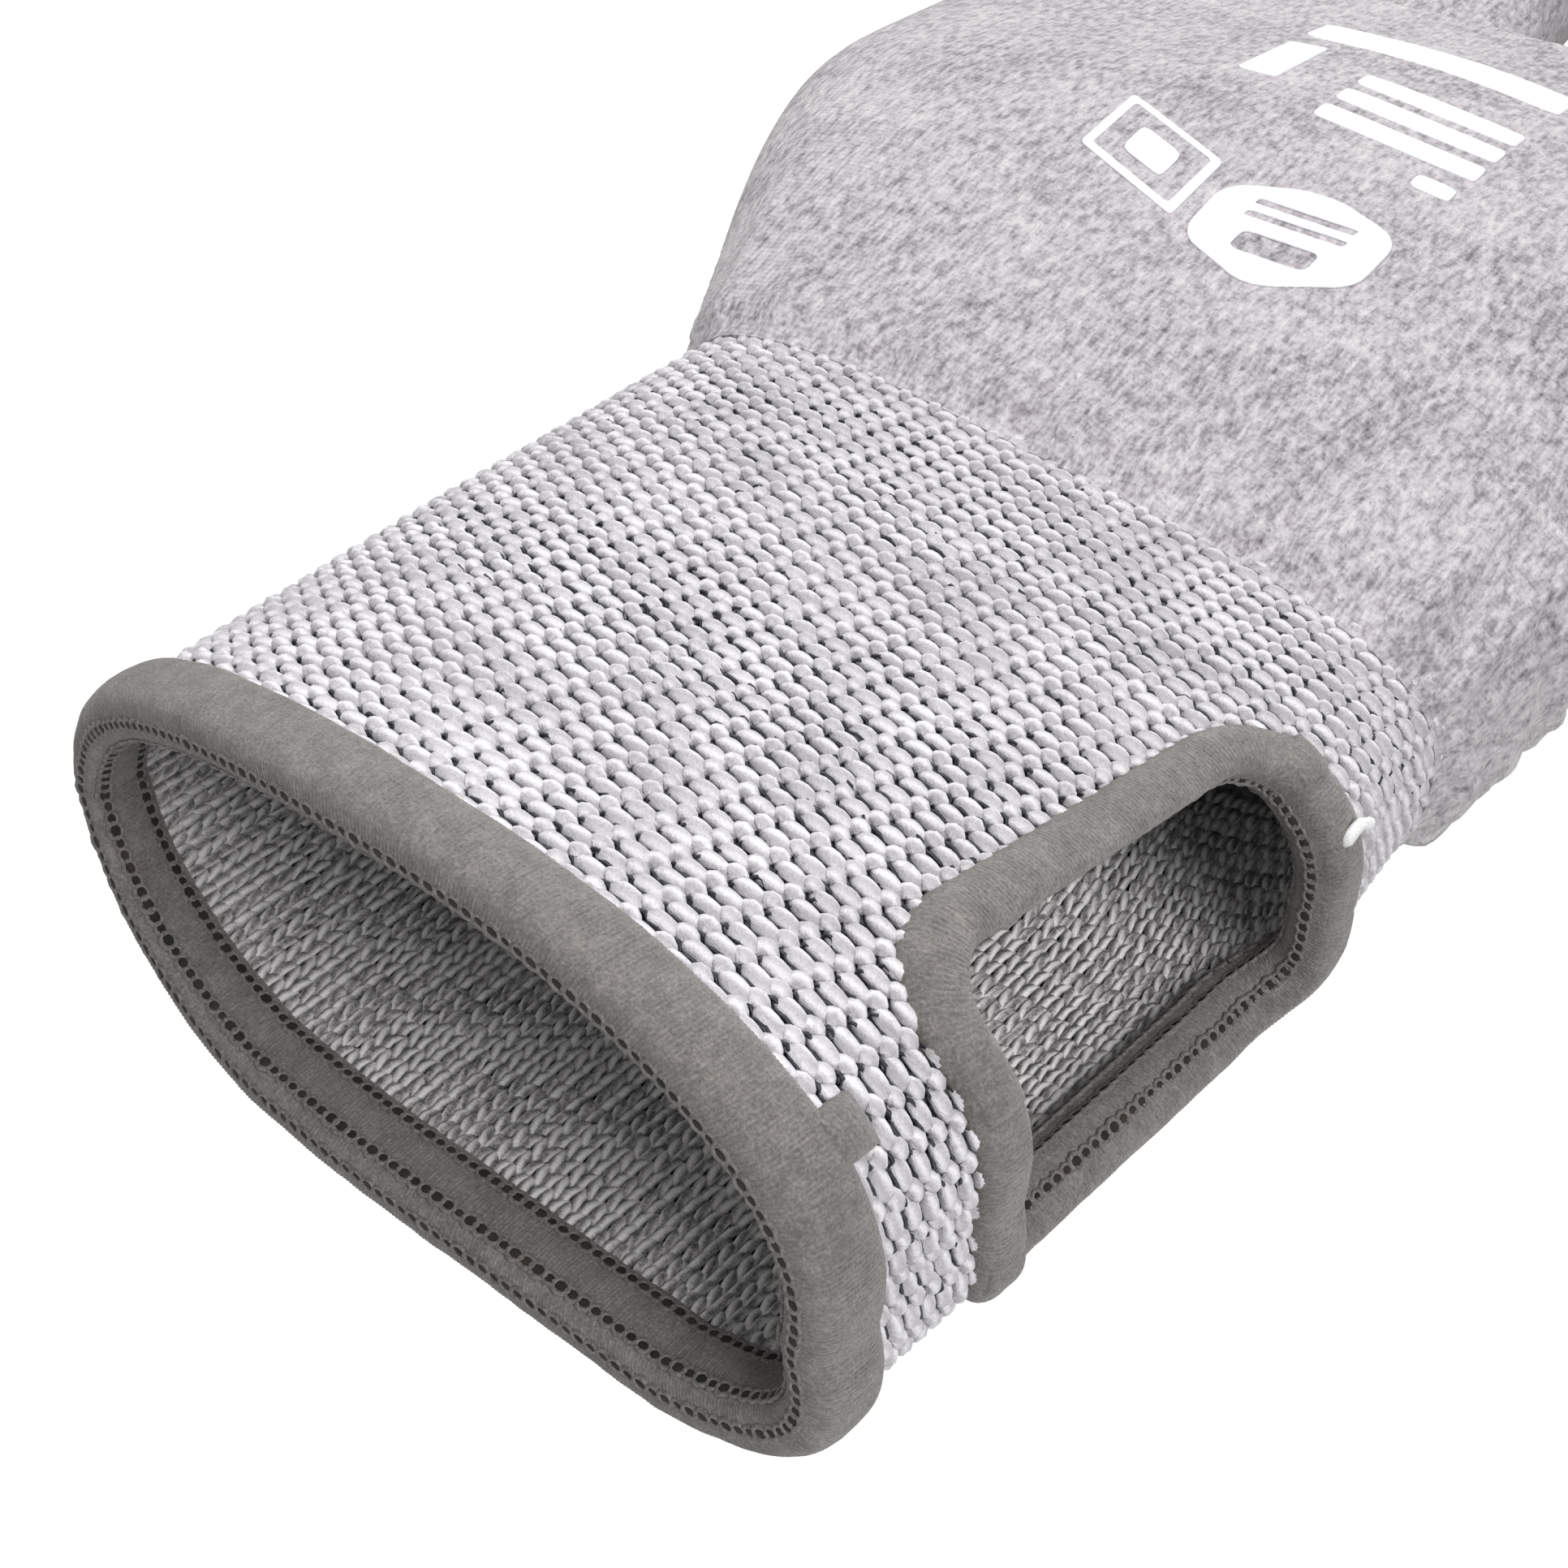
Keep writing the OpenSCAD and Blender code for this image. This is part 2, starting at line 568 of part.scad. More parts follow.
// A slanted open frame with a small panel inside.
frame_u = [-17.3, -6.3];
frame_v = 38;
frame_tall = 10;
frame_drop = -6.6;
frame_line = 0.8;
print_gap = 0.1;
panel_in = [3.4, 3];
module print_frame() {
  left = frame_u[0];
  right = frame_u[1];
  top = frame_v + frame_tall;
  slant = frame_drop / (right - left);
  low = frame_v + frame_line + print_gap;
  high = top - frame_line - print_gap;
  panel_drop = slant * (right - left - 2 * panel_in[0]);
  panel_v = frame_v + slant * panel_in[0] + panel_in[1];
  color(print_white) {
    bar(left, right, frame_v, frame_v + frame_line, frame_drop);
    bar(left, right, top - frame_line, top, frame_drop);
    bar(left, left + frame_line, low, high, slant * frame_line);
    bar(right - frame_line, right, low + frame_drop - slant * frame_line,
        high + frame_drop - slant * frame_line, slant * frame_line);
    bar(left + panel_in[0], right - panel_in[0], panel_v, panel_v + frame_tall - 2 * panel_in[1],
        panel_drop);
  }
}

// Slanted bars in place of lettering: each row is [left u, right u, low v, high v, skew].
bar_rows = [[-4.2, 11, 54.5, 57.7, -2.5], [-4.2, 11, 59.5, 62.7, -2.5], [-4.2, 11, 64.5, 67.7, -2.5],
            [-13.4, -9.8, 60.4, 73, 0], [-13.6, 11, 77, 83, -3], [7, 10.6, 47.6, 50, -0.6]];
module print_bars() {
  color(print_white) for (b = bar_rows) bar(b[0], b[1], b[2], b[3], b[4]);
}

cuff_knit();
cuff_elastic_yarns();
mouth_binding();
mouth_chain_threads();
mouth_tack();
window_binding();
window_chain_threads();
window_binding_joins();
thread_tail();
wrist_knit();
hand_knit();
thumb_gusset_knit();
crotch_stitches();
print_badge();
print_frame();
print_bars();
knuckle(index);  // index_knuckle_knit
lower_finger(index);  // index_finger_knit
joint_knit(index);  // index_joint_knit
fingertip_knit(index);  // index_tip_knit
knuckle(middle_f);  // middle_knuckle_knit
lower_finger(middle_f);  // middle_finger_knit
joint_knit(middle_f);  // middle_joint_knit
fingertip_knit(middle_f);  // middle_tip_knit
knuckle(ring_f);  // ring_knuckle_knit
lower_finger(ring_f);  // ring_finger_knit
joint_knit(ring_f);  // ring_joint_knit
fingertip_knit(ring_f);  // ring_tip_knit
knuckle(little);  // little_knuckle_knit
lower_finger(little);  // little_finger_knit
joint_knit(little);  // little_joint_knit
fingertip_knit(little);  // little_tip_knit
knuckle(thumb);  // thumb_knuckle_knit
lower_finger(thumb);  // thumb_finger_knit
joint_knit(thumb);  // thumb_joint_knit
fingertip_knit(thumb);  // thumb_tip_knit
tip_closure(index);  // index_tip_closure
tip_closure(middle_f);  // middle_tip_closure
tip_closure(ring_f);  // ring_tip_closure
tip_closure(little);  // little_tip_closure
tip_closure(thumb);  // thumb_tip_closure
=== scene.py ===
# %% [markdown]
# A knitted work glove for the left hand lies palm down on a table. Its cuff is knitted from fat
# yarn and has a window in it, and an overlocked edge binds the mouth and the window. The hand is
# one fine tube of heather knit. The design's frame comes first: each piece below is made in
# millimetres in that frame and turned to metres at the end.
# %% The frame and the packages
import math
import bmesh
import bpy
import numpy as np
from mathutils import Matrix, Vector, geometry
from mathutils.bvhtree import BVHTree


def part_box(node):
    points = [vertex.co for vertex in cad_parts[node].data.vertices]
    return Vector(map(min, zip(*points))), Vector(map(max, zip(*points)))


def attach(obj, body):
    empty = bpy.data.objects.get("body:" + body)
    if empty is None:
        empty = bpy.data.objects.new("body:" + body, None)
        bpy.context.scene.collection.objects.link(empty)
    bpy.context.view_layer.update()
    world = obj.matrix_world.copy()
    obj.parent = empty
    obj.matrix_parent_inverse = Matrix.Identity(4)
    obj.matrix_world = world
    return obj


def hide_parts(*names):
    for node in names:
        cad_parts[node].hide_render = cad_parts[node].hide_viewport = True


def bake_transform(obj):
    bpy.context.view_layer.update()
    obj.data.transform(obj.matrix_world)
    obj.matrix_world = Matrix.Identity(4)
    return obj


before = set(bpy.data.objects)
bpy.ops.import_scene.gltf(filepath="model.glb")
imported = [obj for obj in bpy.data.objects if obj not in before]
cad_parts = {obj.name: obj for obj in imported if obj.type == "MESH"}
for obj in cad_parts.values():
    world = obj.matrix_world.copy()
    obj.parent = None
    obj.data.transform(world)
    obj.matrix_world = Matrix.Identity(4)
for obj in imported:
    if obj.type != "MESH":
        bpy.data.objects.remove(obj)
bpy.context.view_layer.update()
MM = 0.001

# %% [markdown]
# These are the design's own sizes, in millimetres and degrees. The cuff's length is read back
# from the frame, so that a change of design is noticed here and not in a finished picture.
# %% Sizes of the cuff, its edges and its window
cuff_l = 68.0
cuff_w = 70.0
mouth_h = 34.0
mouth_slope = 5.0
wrist_w = 68.0
mouth_x = -1.8
wrist_x = -1.0
wrist_draw = 1.5
wrist_h = 25.0
wrist_mid = 0.56 * wrist_h
cuff_t = 2.2
mouth_bind_w = 5.8
win_bind_w = 3.0
bind_t = 0.9
bind_lip = 1.0
win_y = 17.5
win_l = 33.5
win_lo = -31.0
win_hi = 49.0
win_corner = 5.0
press = 1.2
measured_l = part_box("cuff_knit")[1].y / MM
print(f"cuff {cuff_l} mm long, {measured_l:.1f} mm in the frame")
if abs(measured_l - cuff_l) > 0.1:
    raise ValueError("the cuff's length here isn't the design's")

# %% Sizes of the hand and its digits
lean = 10.0
hand_l = 98.0
palm_h = 28.0
hand_t = 1.4
hand_x = -1.5
hand_y = cuff_l - 2
wrist_half = wrist_w / 2
finger_w = 24.0
finger_h = 16.0
crotch_gap = 1.0
finger_pitch = finger_w + crotch_gap
palm_half = 2 * finger_pitch
tip_dome = 10.0
thumb_web = 43.0
finger_bend = 80.0
thumb_bend = 50.0
thumb_tip_bend = 70.0
# Each digit: its length, width, thickness, turn, and the start of its own line in the hand.
DIGITS = {
    "little": dict(length=60.0, width=22.5, height=finger_h, turn=7.0,
                   root=(-1.5 * finger_pitch, hand_l)),
    "ring": dict(length=76.0, width=finger_w, height=finger_h, turn=2.5,
                   root=(-0.5 * finger_pitch, hand_l)),
    "middle": dict(length=82.0, width=finger_w, height=finger_h, turn=-1.0,
                   root=(0.5 * finger_pitch, hand_l)),
    "index": dict(length=74.0, width=finger_w, height=finger_h, turn=-4.5,
                   root=(1.5 * finger_pitch, hand_l)),
    "thumb": dict(length=64.0, width=27.0, height=17.5, turn=-38.0, root=(34.0, 19.6)),
}
print("digits:", ", ".join(DIGITS))

# %% [markdown]
# A section of the cuff or the hand is a rounded oval whose top and bottom have their own height,
# roundness and sideways shift. The same rule draws every shell in the design, so it is repeated
# here, written for whole arrays of points at once.
# %% The section rule
def clamp01(k):
    return np.clip(k, 0, 1)


def smooth(k):
    c = clamp01(k)
    return c * c * (3 - 2 * c)


def lerp(a, b, k):
    return a + (b - a) * k


def signed_pow(v, e):
    return np.sign(v) * np.abs(v) ** e


def section_point(q, t):
    """The point (x, z) at the angle t, in degrees, of the section q."""
    s, c = np.sin(np.radians(t)), np.cos(np.radians(t))
    above = s >= 0
    n = np.where(above, q[5], q[6])
    w = signed_pow(s, 2 / n)
    x = q[0] + q[1] * signed_pow(c, 2 / n) + np.where(above, q[7], -q[8]) * w
    z = q[2] + np.where(above, q[3], q[4]) * w
    return x, np.maximum(q[9], z)


def inset(q, t):
    return (q[0], q[1] - t, q[2], q[3] - t, q[4] - t, q[5], q[6], q[7], q[8], q[9] + t)


def cuff_section(y):
    k = clamp01(y / cuff_l)
    mid = lerp((mouth_h - 2 * bind_t) * 0.4 + bind_t, wrist_mid, k)
    top = lerp(mouth_h - bind_t, wrist_h, k ** 1.1)
    near = smooth((k - 0.65) / 0.35)
    draw = wrist_draw * near
    half = lerp(cuff_w / 2 - bind_t, wrist_w / 2 + wrist_draw, k) - draw
    return (lerp(mouth_x, wrist_x, k) - draw, half, mid, top - mid, mid - bind_t + press,
            lerp(2.15, 3.3, k), lerp(2.6, 2.8, k) - 0.5 * near, 3 * (1 - k), 4.5 * (1 - k),
            bind_t + 0 * k)


def cuff_point(y, t, s):
    """A point of the cuff's wall: s runs from 0 on the inner face to cuff_t on the outer face."""
    y, t, s = np.broadcast_arrays(np.asarray(y, float), t, s)
    q = cuff_section(y)
    xo, zo = section_point(q, t)
    xi, zi = section_point(inset(q, cuff_t), t)
    k = s / cuff_t
    x = xi + (xo - xi) * k
    side = np.maximum(0, q[0] - x) / q[1]
    back = mouth_slope * side ** 2 * (1 - clamp01(y / cuff_l)) ** 2
    return np.stack([x, y + back, zi + (zo - zi) * k], -1)


print("the mouth is", round(float(np.ptp(cuff_point(0, np.arange(360), cuff_t)[:, 2])), 1), "mm high")

# %% [markdown]
# Stitches have to be evenly spaced along the fabric, and an oval's angle isn't. So each row's
# angles are found from the distance round it. The window is drawn on the same fabric, as a
# rounded rectangle in distances along and round the cuff.
# %% Distances round the cuff and round the window
def distances(p):
    """The distance of each point of a line from its first point."""
    return np.concatenate([[0], np.cumsum(np.linalg.norm(np.diff(p, axis=0), axis=1))])


fine_t = np.linspace(180, 540, 8 * 360 + 1)  # eight places to a degree


def row_angles(y, shares):
    """Angles at the given shares, 0 to 1, of the distance round the cuff at y."""
    way = distances(cuff_point(y, fine_t, cuff_t))
    return np.interp(np.asarray(shares) * way[-1], way, fine_t), way[-1]


win_mid = win_y + win_l / 2
mid_way = distances(cuff_point(win_mid, fine_t, cuff_t))


def around_mm(t):
    """Distance round the cuff, at the window's middle, of the angle t."""
    return np.interp(np.mod(t - 180, 360) + 180, fine_t, mid_way)


def angle_at(a):
    return np.interp(a, mid_way, fine_t)


win_a = (around_mm(win_lo) + around_mm(win_hi)) / 2
win_half_a = (around_mm(win_hi) - around_mm(win_lo)) / 2


def window_gap(y, a):
    """Distance of a point of the fabric from the window's edge, less than 0 inside the window."""
    px = np.abs(np.asarray(a) - win_a) - win_half_a + win_corner
    py = np.abs(np.asarray(y) - win_mid) - win_l / 2 + win_corner
    outside = np.hypot(np.maximum(px, 0), np.maximum(py, 0))
    return outside + np.minimum(np.maximum(px, py), 0) - win_corner


def even_loop(points, count):
    """A closed list of points, spaced evenly again."""
    p = np.vstack([points, points[:1]])
    way = distances(p)
    at = np.linspace(0, way[-1], count, endpoint=False)
    return np.stack([np.interp(at, way, p[:, k]) for k in range(p.shape[1])], 1), way[-1]


def window_path(count):
    """Rows of (y, a, outward y, outward a) at even distances round the window's edge."""
    corner_points = 24
    g = np.radians(np.concatenate([np.linspace(q, q + 90, corner_points) for q in (0, 90, 180, 270)]))
    quarter = np.repeat(np.radians([45, 135, 225, 315]), corner_points)
    flat_y, flat_a = win_l / 2 - win_corner, win_half_a - win_corner
    y = win_mid + np.sign(np.cos(quarter)) * flat_y + win_corner * np.cos(g)
    a = win_a + np.sign(np.sin(quarter)) * flat_a + win_corner * np.sin(g)
    return even_loop(np.stack([y, a, np.cos(g), np.sin(g)], 1), count)


print("the window is", round(2 * win_half_a, 1), "mm round the cuff")

# %% [markdown]
# Every material is built by script. One small class wraps a socket, so that shader maths reads
# as ordinary sums, and one method makes any other node from its type, settings and inputs. The
# same class serves the Geometry Nodes trees.
# %% A socket that Python's operators work on
class Wire:
    """An output socket of a node tree."""

    def __init__(self, tree, socket=None):
        self.tree = tree
        self.socket = socket

    def make(self, kind, settings=None, inputs=None, out=0):
        node = self.tree.nodes.new(kind)
        for key, value in (settings or {}).items():
            if key == "stops":
                ramp = node.color_ramp.elements
                while len(ramp) < len(value):
                    ramp.new(0.5)
                for element, (place, colour) in zip(ramp, value):
                    element.position = place
                    element.color = (*colour, 1) if len(colour) == 3 else colour
            else:
                setattr(node, key, value)
        for key, value in (inputs or {}).items():
            if isinstance(value, Wire):
                self.tree.links.new(value.socket, node.inputs[key])
            else:
                node.inputs[key].default_value = value
        return Wire(self.tree, node.outputs[out])

    def out(self, name):
        return Wire(self.tree, self.socket.node.outputs[name])

    def math(self, operation, *values):
        return self.make("ShaderNodeMath", {"operation": operation}, dict(enumerate(values)))

    def vector(self, operation, *values):
        return self.make("ShaderNodeVectorMath", {"operation": operation}, dict(enumerate(values)))

    def scaled(self, factor):
        settings = {"operation": "SCALE"}
        return self.make("ShaderNodeVectorMath", settings, {"Vector": self, "Scale": factor})

    def ramp(self, *stops):
        return self.make("ShaderNodeValToRGB", {"stops": stops}, {"Fac": self})

    def __add__(self, other):
        return self.math("ADD", self, other)

    def __sub__(self, other):
        return self.math("SUBTRACT", self, other)

    def __rsub__(self, other):
        return self.math("SUBTRACT", other, self)

    def __mul__(self, other):
        return self.math("MULTIPLY", self, other)

    __radd__ = __add__
    __rmul__ = __mul__


print("a wire has", sum(name.startswith("__") for name in vars(Wire)), "special methods")


# %% [markdown]
# Colours are given as a person reads them from a colour chart, 0 to 255, and turned to the
# linear values that light adds up in.
# %% Colours, noise and the fabric shader
def colour(*chart):
    return tuple(((c / 255 + 0.055) / 1.055) ** 2.4 for c in chart)


def blend_colours(wires, factor, first, second):
    mix = wires.make("ShaderNodeMix", {"data_type": "RGBA"}, {0: factor}, out=2)
    for place, value in ((6, first), (7, second)):
        if isinstance(value, Wire):
            wires.tree.links.new(value.socket, mix.socket.node.inputs[place])
        else:
            mix.socket.node.inputs[place].default_value = (*value, 1)
    return mix


def noise(wires, where, scale, detail=2.0, rough=0.5):
    inputs = {"Vector": where, "Scale": scale, "Detail": detail, "Roughness": rough}
    return wires.make("ShaderNodeTexNoise", {"noise_dimensions": "3D"}, inputs)


def attribute(wires, name, out="Vector"):
    return wires.make("ShaderNodeAttribute", {"attribute_name": name}).out(out)


def object_mm(wires):
    """Object coordinates in millimetres."""
    place = wires.make("ShaderNodeTexCoord").out("Object")
    return place.scaled(1 / MM)


def fabric(name, paint, roughness, sheen):
    """A material whose paint function gives its colour and the height of its surface in mm."""
    material = bpy.data.materials.new(name)
    material.use_nodes = True
    tree = material.node_tree
    shader = tree.nodes["Principled BSDF"]
    base, height = paint(Wire(tree))
    tree.links.new(base.socket, shader.inputs["Base Color"])
    shader.inputs["Roughness"].default_value = roughness
    shader.inputs["Sheen Weight"].default_value = sheen
    shader.inputs["Sheen Roughness"].default_value = 0.5
    if height is not None:
        bump = base.make("ShaderNodeBump", None, {"Height": height, "Distance": MM, "Strength": 1.0})
        tree.links.new(bump.socket, shader.inputs["Normal"])
    return material


print("a middle grey of 128 is", round(colour(128)[0], 3), "in linear light")

# %% [markdown]
# Yarn is several plies twisted together. The ply's place follows the yarn, so it reads two
# attributes that the yarn's mesh carries: the distance along it and the side of it. Fine noise
# stretched along the plies makes the loose fibres.
# %% Yarns
def ply_wave(wires, plies, lay):
    """0 to 1 across each ply of a yarn whose plies turn once in lay millimetres."""
    spin = attribute(wires, "spin")
    parts = wires.make("ShaderNodeSeparateXYZ", None, {0: spin})
    angle = wires.math("ARCTAN2", parts.out("Y"), parts.out("X"))
    along = attribute(wires, "along", "Fac")
    wave = wires.math("SINE", angle * plies + along * (2 * math.pi * plies / lay))
    return wave * 0.5 + 0.5


def light_yarn(wires):
    where = object_mm(wires)
    ply = ply_wave(wires, 3.0, 7.0)
    fibres = noise(wires, where, 5.0, 3.0, 0.65)
    patches = noise(wires, where, 0.16, 2.0)
    # The yarn's tone falls slowly from the mouth towards the hand: this darkening is painted shade.
    from_mouth = wires.make("ShaderNodeSeparateXYZ", None, {0: where}).out("Y")
    tone = ply * 0.3 + fibres * 0.5 + patches * 0.35 - from_mouth * 0.0016 + 0.03
    base = tone.ramp((0.3, colour(168, 165, 169)), (0.55, colour(202, 199, 203)),
                     (0.8, colour(234, 232, 236)))
    flecks = wires.math("GREATER_THAN", noise(wires, where, 1.1, 1.0), 0.66)
    base = blend_colours(wires, flecks * 0.25, base, colour(150, 147, 153))
    return base, ply * 0.10 + fibres * 0.12


def melange_yarn(wires):
    where = object_mm(wires)
    ply = ply_wave(wires, 2.0, 3.2)
    streak = noise(wires, where, 1.5, 3.0, 0.6)
    fibres = noise(wires, where, 6.0, 2.0, 0.6)
    tone = ply * 0.45 + streak * 0.6 + fibres * 0.3
    base = tone.ramp((0.35, colour(92, 89, 91)), (0.55, colour(166, 163, 164)),
                     (0.75, colour(216, 213, 213)), (0.95, colour(238, 236, 236)))
    return base, ply * 0.14 + fibres * 0.10


def plating_thread(wires):
    where = object_mm(wires)
    base = noise(wires, where, 2.0).ramp((0.3, colour(26, 28, 32)), (0.7, colour(52, 54, 60)))
    return base, noise(wires, where, 9.0) * 0.03


# The layer between the cuff's faces is painted dark, as painted shade for the slots between the ridges.
def core_shade_colour(wires):
    where = object_mm(wires)
    base = noise(wires, where, 1.2, 3.0).ramp((0.3, colour(58, 57, 61)), (0.7, colour(96, 94, 99)))
    return base, noise(wires, where, 4.0) * 0.1


def elastic(wires):
    where = object_mm(wires)
    base = noise(wires, where, 3.0).ramp((0.3, colour(70, 68, 72)), (0.7, colour(110, 108, 112)))
    return base, ply_wave(wires, 1.0, 0.6) * 0.05


cuff_yarn = fabric("cuff_yarn", light_yarn, 0.9, 0.35)
inner_yarn = fabric("inner_yarn", melange_yarn, 0.85, 0.15)
thread_black = fabric("plating_thread", plating_thread, 0.5, 0.0)
painted_core_shade = fabric("painted_core_shade", core_shade_colour, 0.95, 0.0)
elastic_yarn = fabric("elastic_yarn", elastic, 0.6, 0.0)
print("yarn materials:", len(bpy.data.materials))

# %% [markdown]
# The overlock thread is a soft, crimped thread that covers the edge closely. Its own strands lie
# across the edge, so its fine pattern is stretched that way with the edge's two attributes:
# distance along the edge and distance over it.
# %% Threads of the bound edges
def overlock(wires):
    where = object_mm(wires)
    edge = attribute(wires, "edge")
    parts = wires.make("ShaderNodeSeparateXYZ", None, {0: edge})
    strands = wires.make("ShaderNodeCombineXYZ", None, {
        0: parts.out("X") * 4.2, 1: parts.out("Z") * 0.9})
    hair = noise(wires, strands, 1.0, 4.0, 0.7)
    mottle = noise(wires, where, 0.45, 4.0, 0.7)
    grain = noise(wires, where, 4.5, 3.0, 0.7)
    tone = hair * 0.35 + mottle * 0.35 + grain * 0.6
    base = tone.ramp((0.42, colour(72, 69, 67)), (0.62, colour(108, 104, 101)),
                     (0.84, colour(148, 143, 139)))
    return base, hair * 0.10 + grain * 0.16


def chain(wires):
    where = object_mm(wires)
    grain = noise(wires, where, 4.0, 3.0, 0.6)
    base = grain.ramp((0.3, colour(72, 69, 68)), (0.7, colour(128, 124, 121)))
    return base, grain * 0.08


# A needle hole is painted as a dark spot: painted shade where the hole shows.
def hole_shade_colour(wires):
    where = object_mm(wires)
    base = noise(wires, where, 0.5).ramp((0.35, colour(24, 22, 22)), (0.7, colour(52, 44, 38)))
    return base, None


def white(wires):
    where = object_mm(wires)
    grain = noise(wires, where, 5.0, 3.0)
    base = grain.ramp((0.3, colour(205, 204, 206)), (0.7, colour(240, 240, 242)))
    return base, grain * 0.05


binding_thread = fabric("binding_thread", overlock, 0.8, 0.3)
chain_thread = fabric("chain_thread", chain, 0.75, 0.2)
needle_hole_shade = fabric("needle_hole_shade", hole_shade_colour, 0.95, 0.0)
white_thread = fabric("white_thread", white, 0.7, 0.2)
print("thread materials made")

# %% [markdown]
# The hand is a fine heather knit: its wales are under half a millimetre wide, too small for
# yarns of their own, so they are bump and colour. Dark fibres show as short streaks along the
# wales. The pattern reads the cloth's own rest place, in millimetres, so it stays on the cloth.
# %% Heather knit and the transfer print
def heather(wires):
    cloth = attribute(wires, "cloth")
    parts = wires.make("ShaderNodeSeparateXYZ", None, {0: cloth})
    across, along, up = parts.out("X"), parts.out("Y"), parts.out("Z")
    streak_at = wires.make("ShaderNodeCombineXYZ", None, {0: across, 1: along * 0.42, 2: up})
    streaks = noise(wires, streak_at, 1.5, 3.0, 0.66)
    specks = noise(wires, streak_at, 3.2, 2.0, 0.5)
    broad = noise(wires, cloth, 0.09, 2.0)
    wale = wires.math("SINE", across * (2 * math.pi / 0.62) + streaks * 5.0)
    course = wires.math("SINE", along * (2 * math.pi / 0.55) + across * 3.0)
    loops = wale * 0.5 + course * 0.35
    tone = streaks * 0.8 + specks * 0.25 + broad * 0.25 + loops * 0.035
    base = tone.ramp((0.42, colour(88, 84, 90)), (0.55, colour(138, 133, 138)),
                     (0.68, colour(176, 171, 175)), (0.84, colour(202, 198, 200)))
    dark = wires.math("GREATER_THAN", specks, 0.69)
    base = blend_colours(wires, dark * 0.5, base, colour(74, 71, 78))
    return base, loops * 0.05 + specks * 0.12


def transfer(wires):
    cloth = attribute(wires, "cloth")
    grain = noise(wires, cloth, 2.4, 3.0, 0.6)
    base = grain.ramp((0.3, colour(232, 233, 238)), (0.7, colour(246, 247, 250)))
    return base, grain * 0.05


hand_knit = fabric("hand_knit", heather, 0.9, 0.3)
print_ink = fabric("transfer_print", transfer, 0.55, 0.0)
print("all materials:", len(bpy.data.materials))

# %% [markdown]
# A finished piece is one plain mesh at the origin. These helpers make such a mesh from points in
# millimetres, add the attributes that the nodes and materials read, and run a Geometry Nodes tree
# on it once, so that what is left is an ordinary mesh.
# %% Meshes and attributes
def new_piece(name, points, faces=(), edges=(), material=None, **values):
    """An object from points in millimetres. Each value is an attribute on its points."""
    mesh = bpy.data.meshes.new(name)
    mesh.from_pydata((np.asarray(points, float).reshape(-1, 3) * MM).tolist(), edges, faces)
    for key, value in values.items():
        value = np.asarray(value, np.float32)
        kind, field = ("FLOAT", "value") if value.ndim == 1 else ("FLOAT_VECTOR", "vector")
        mesh.attributes.new(key, kind, "POINT").data.foreach_set(field, value.ravel())
    if material:
        mesh.materials.append(material)
    mesh.polygons.foreach_set("use_smooth", [True] * len(mesh.polygons))
    mesh.update()
    piece = bpy.data.objects.new(name, mesh)
    bpy.context.scene.collection.objects.link(piece)
    return piece


def open_edges(faces):
    """The edges (a, b) of the faces, in their own direction, that only one face has."""
    every = [(a, b) for f in faces for a, b in zip(f, f[1:] + f[:1])]
    known = set(every)
    return [(a, b) for a, b in every if (b, a) not in known]


def walled(faces, n):
    """Faces of a closed wall whose second face's points come n after the first one's."""
    far_side = [[i + n for i in reversed(f)] for f in faces]
    return faces + far_side + [[b, a, a + n, b + n] for a, b in open_edges(faces)]


def outward_faces(piece):
    """Drops loose points and turns every face of a closed mesh outwards."""
    bm = bmesh.new()
    bm.from_mesh(piece.data)
    bmesh.ops.delete(bm, geom=[v for v in bm.verts if not v.link_faces], context="VERTS")
    bmesh.ops.recalc_face_normals(bm, faces=bm.faces)
    bm.to_mesh(piece.data)
    bm.free()
    return piece


def settle(piece):
    """Turns the result of a piece's modifiers into its own plain mesh."""
    bpy.context.view_layer.update()
    depsgraph = bpy.context.evaluated_depsgraph_get()
    mesh = bpy.data.meshes.new_from_object(piece.evaluated_get(depsgraph), depsgraph=depsgraph)
    piece.modifiers.clear()
    old = piece.data
    piece.data = mesh
    mesh.name = piece.name
    bpy.data.meshes.remove(old)
    return piece


def run_tree(piece, tree, **values):
    """Runs a Geometry Nodes tree on a piece. Each value goes to the input of that name."""
    modifier = piece.modifiers.new(tree.name, "NODES")
    modifier.node_group = tree
    sockets = {s.name: s.identifier for s in tree.interface.items_tree
               if s.item_type == "SOCKET" and s.in_out == "INPUT"}
    for name, value in values.items():
        modifier[sockets[name.replace("_", " ").capitalize()]] = value
    settle(piece)
    triangles = sum(len(p.vertices) - 2 for p in piece.data.polygons)
    print(f"{piece.name}: {triangles} triangles")
    return piece


def new_tree(name, **inputs):
    """An empty Geometry Nodes tree, its start, and a wire for each named input."""
    tree = bpy.data.node_groups.new(name, "GeometryNodeTree")
    tree.interface.new_socket("Geometry", in_out="INPUT", socket_type="NodeSocketGeometry")
    kinds = {float: "NodeSocketFloat", int: "NodeSocketInt", str: "NodeSocketMaterial"}
    for key, value in inputs.items():
        title = key.replace("_", " ").capitalize()
        socket = tree.interface.new_socket(title, in_out="INPUT", socket_type=kinds[type(value)])
        if not isinstance(value, str):
            socket.default_value = value
    tree.interface.new_socket("Geometry", in_out="OUTPUT", socket_type="NodeSocketGeometry")
    start = Wire(tree).make("NodeGroupInput")
    wires = {key: start.out(key.replace("_", " ").capitalize()) for key in inputs}
    return tree, start, wires


def end_tree(geometry):
    """The tree's last nodes: real geometry, smooth shading and the group's output."""
    real = geometry.make("GeometryNodeRealizeInstances", None, {0: geometry})
    smooth_shaded = real.make("GeometryNodeSetShadeSmooth", None, {0: real})
    output = real.tree.nodes.new("NodeGroupOutput")
    real.tree.links.new(smooth_shaded.socket, output.inputs[0])


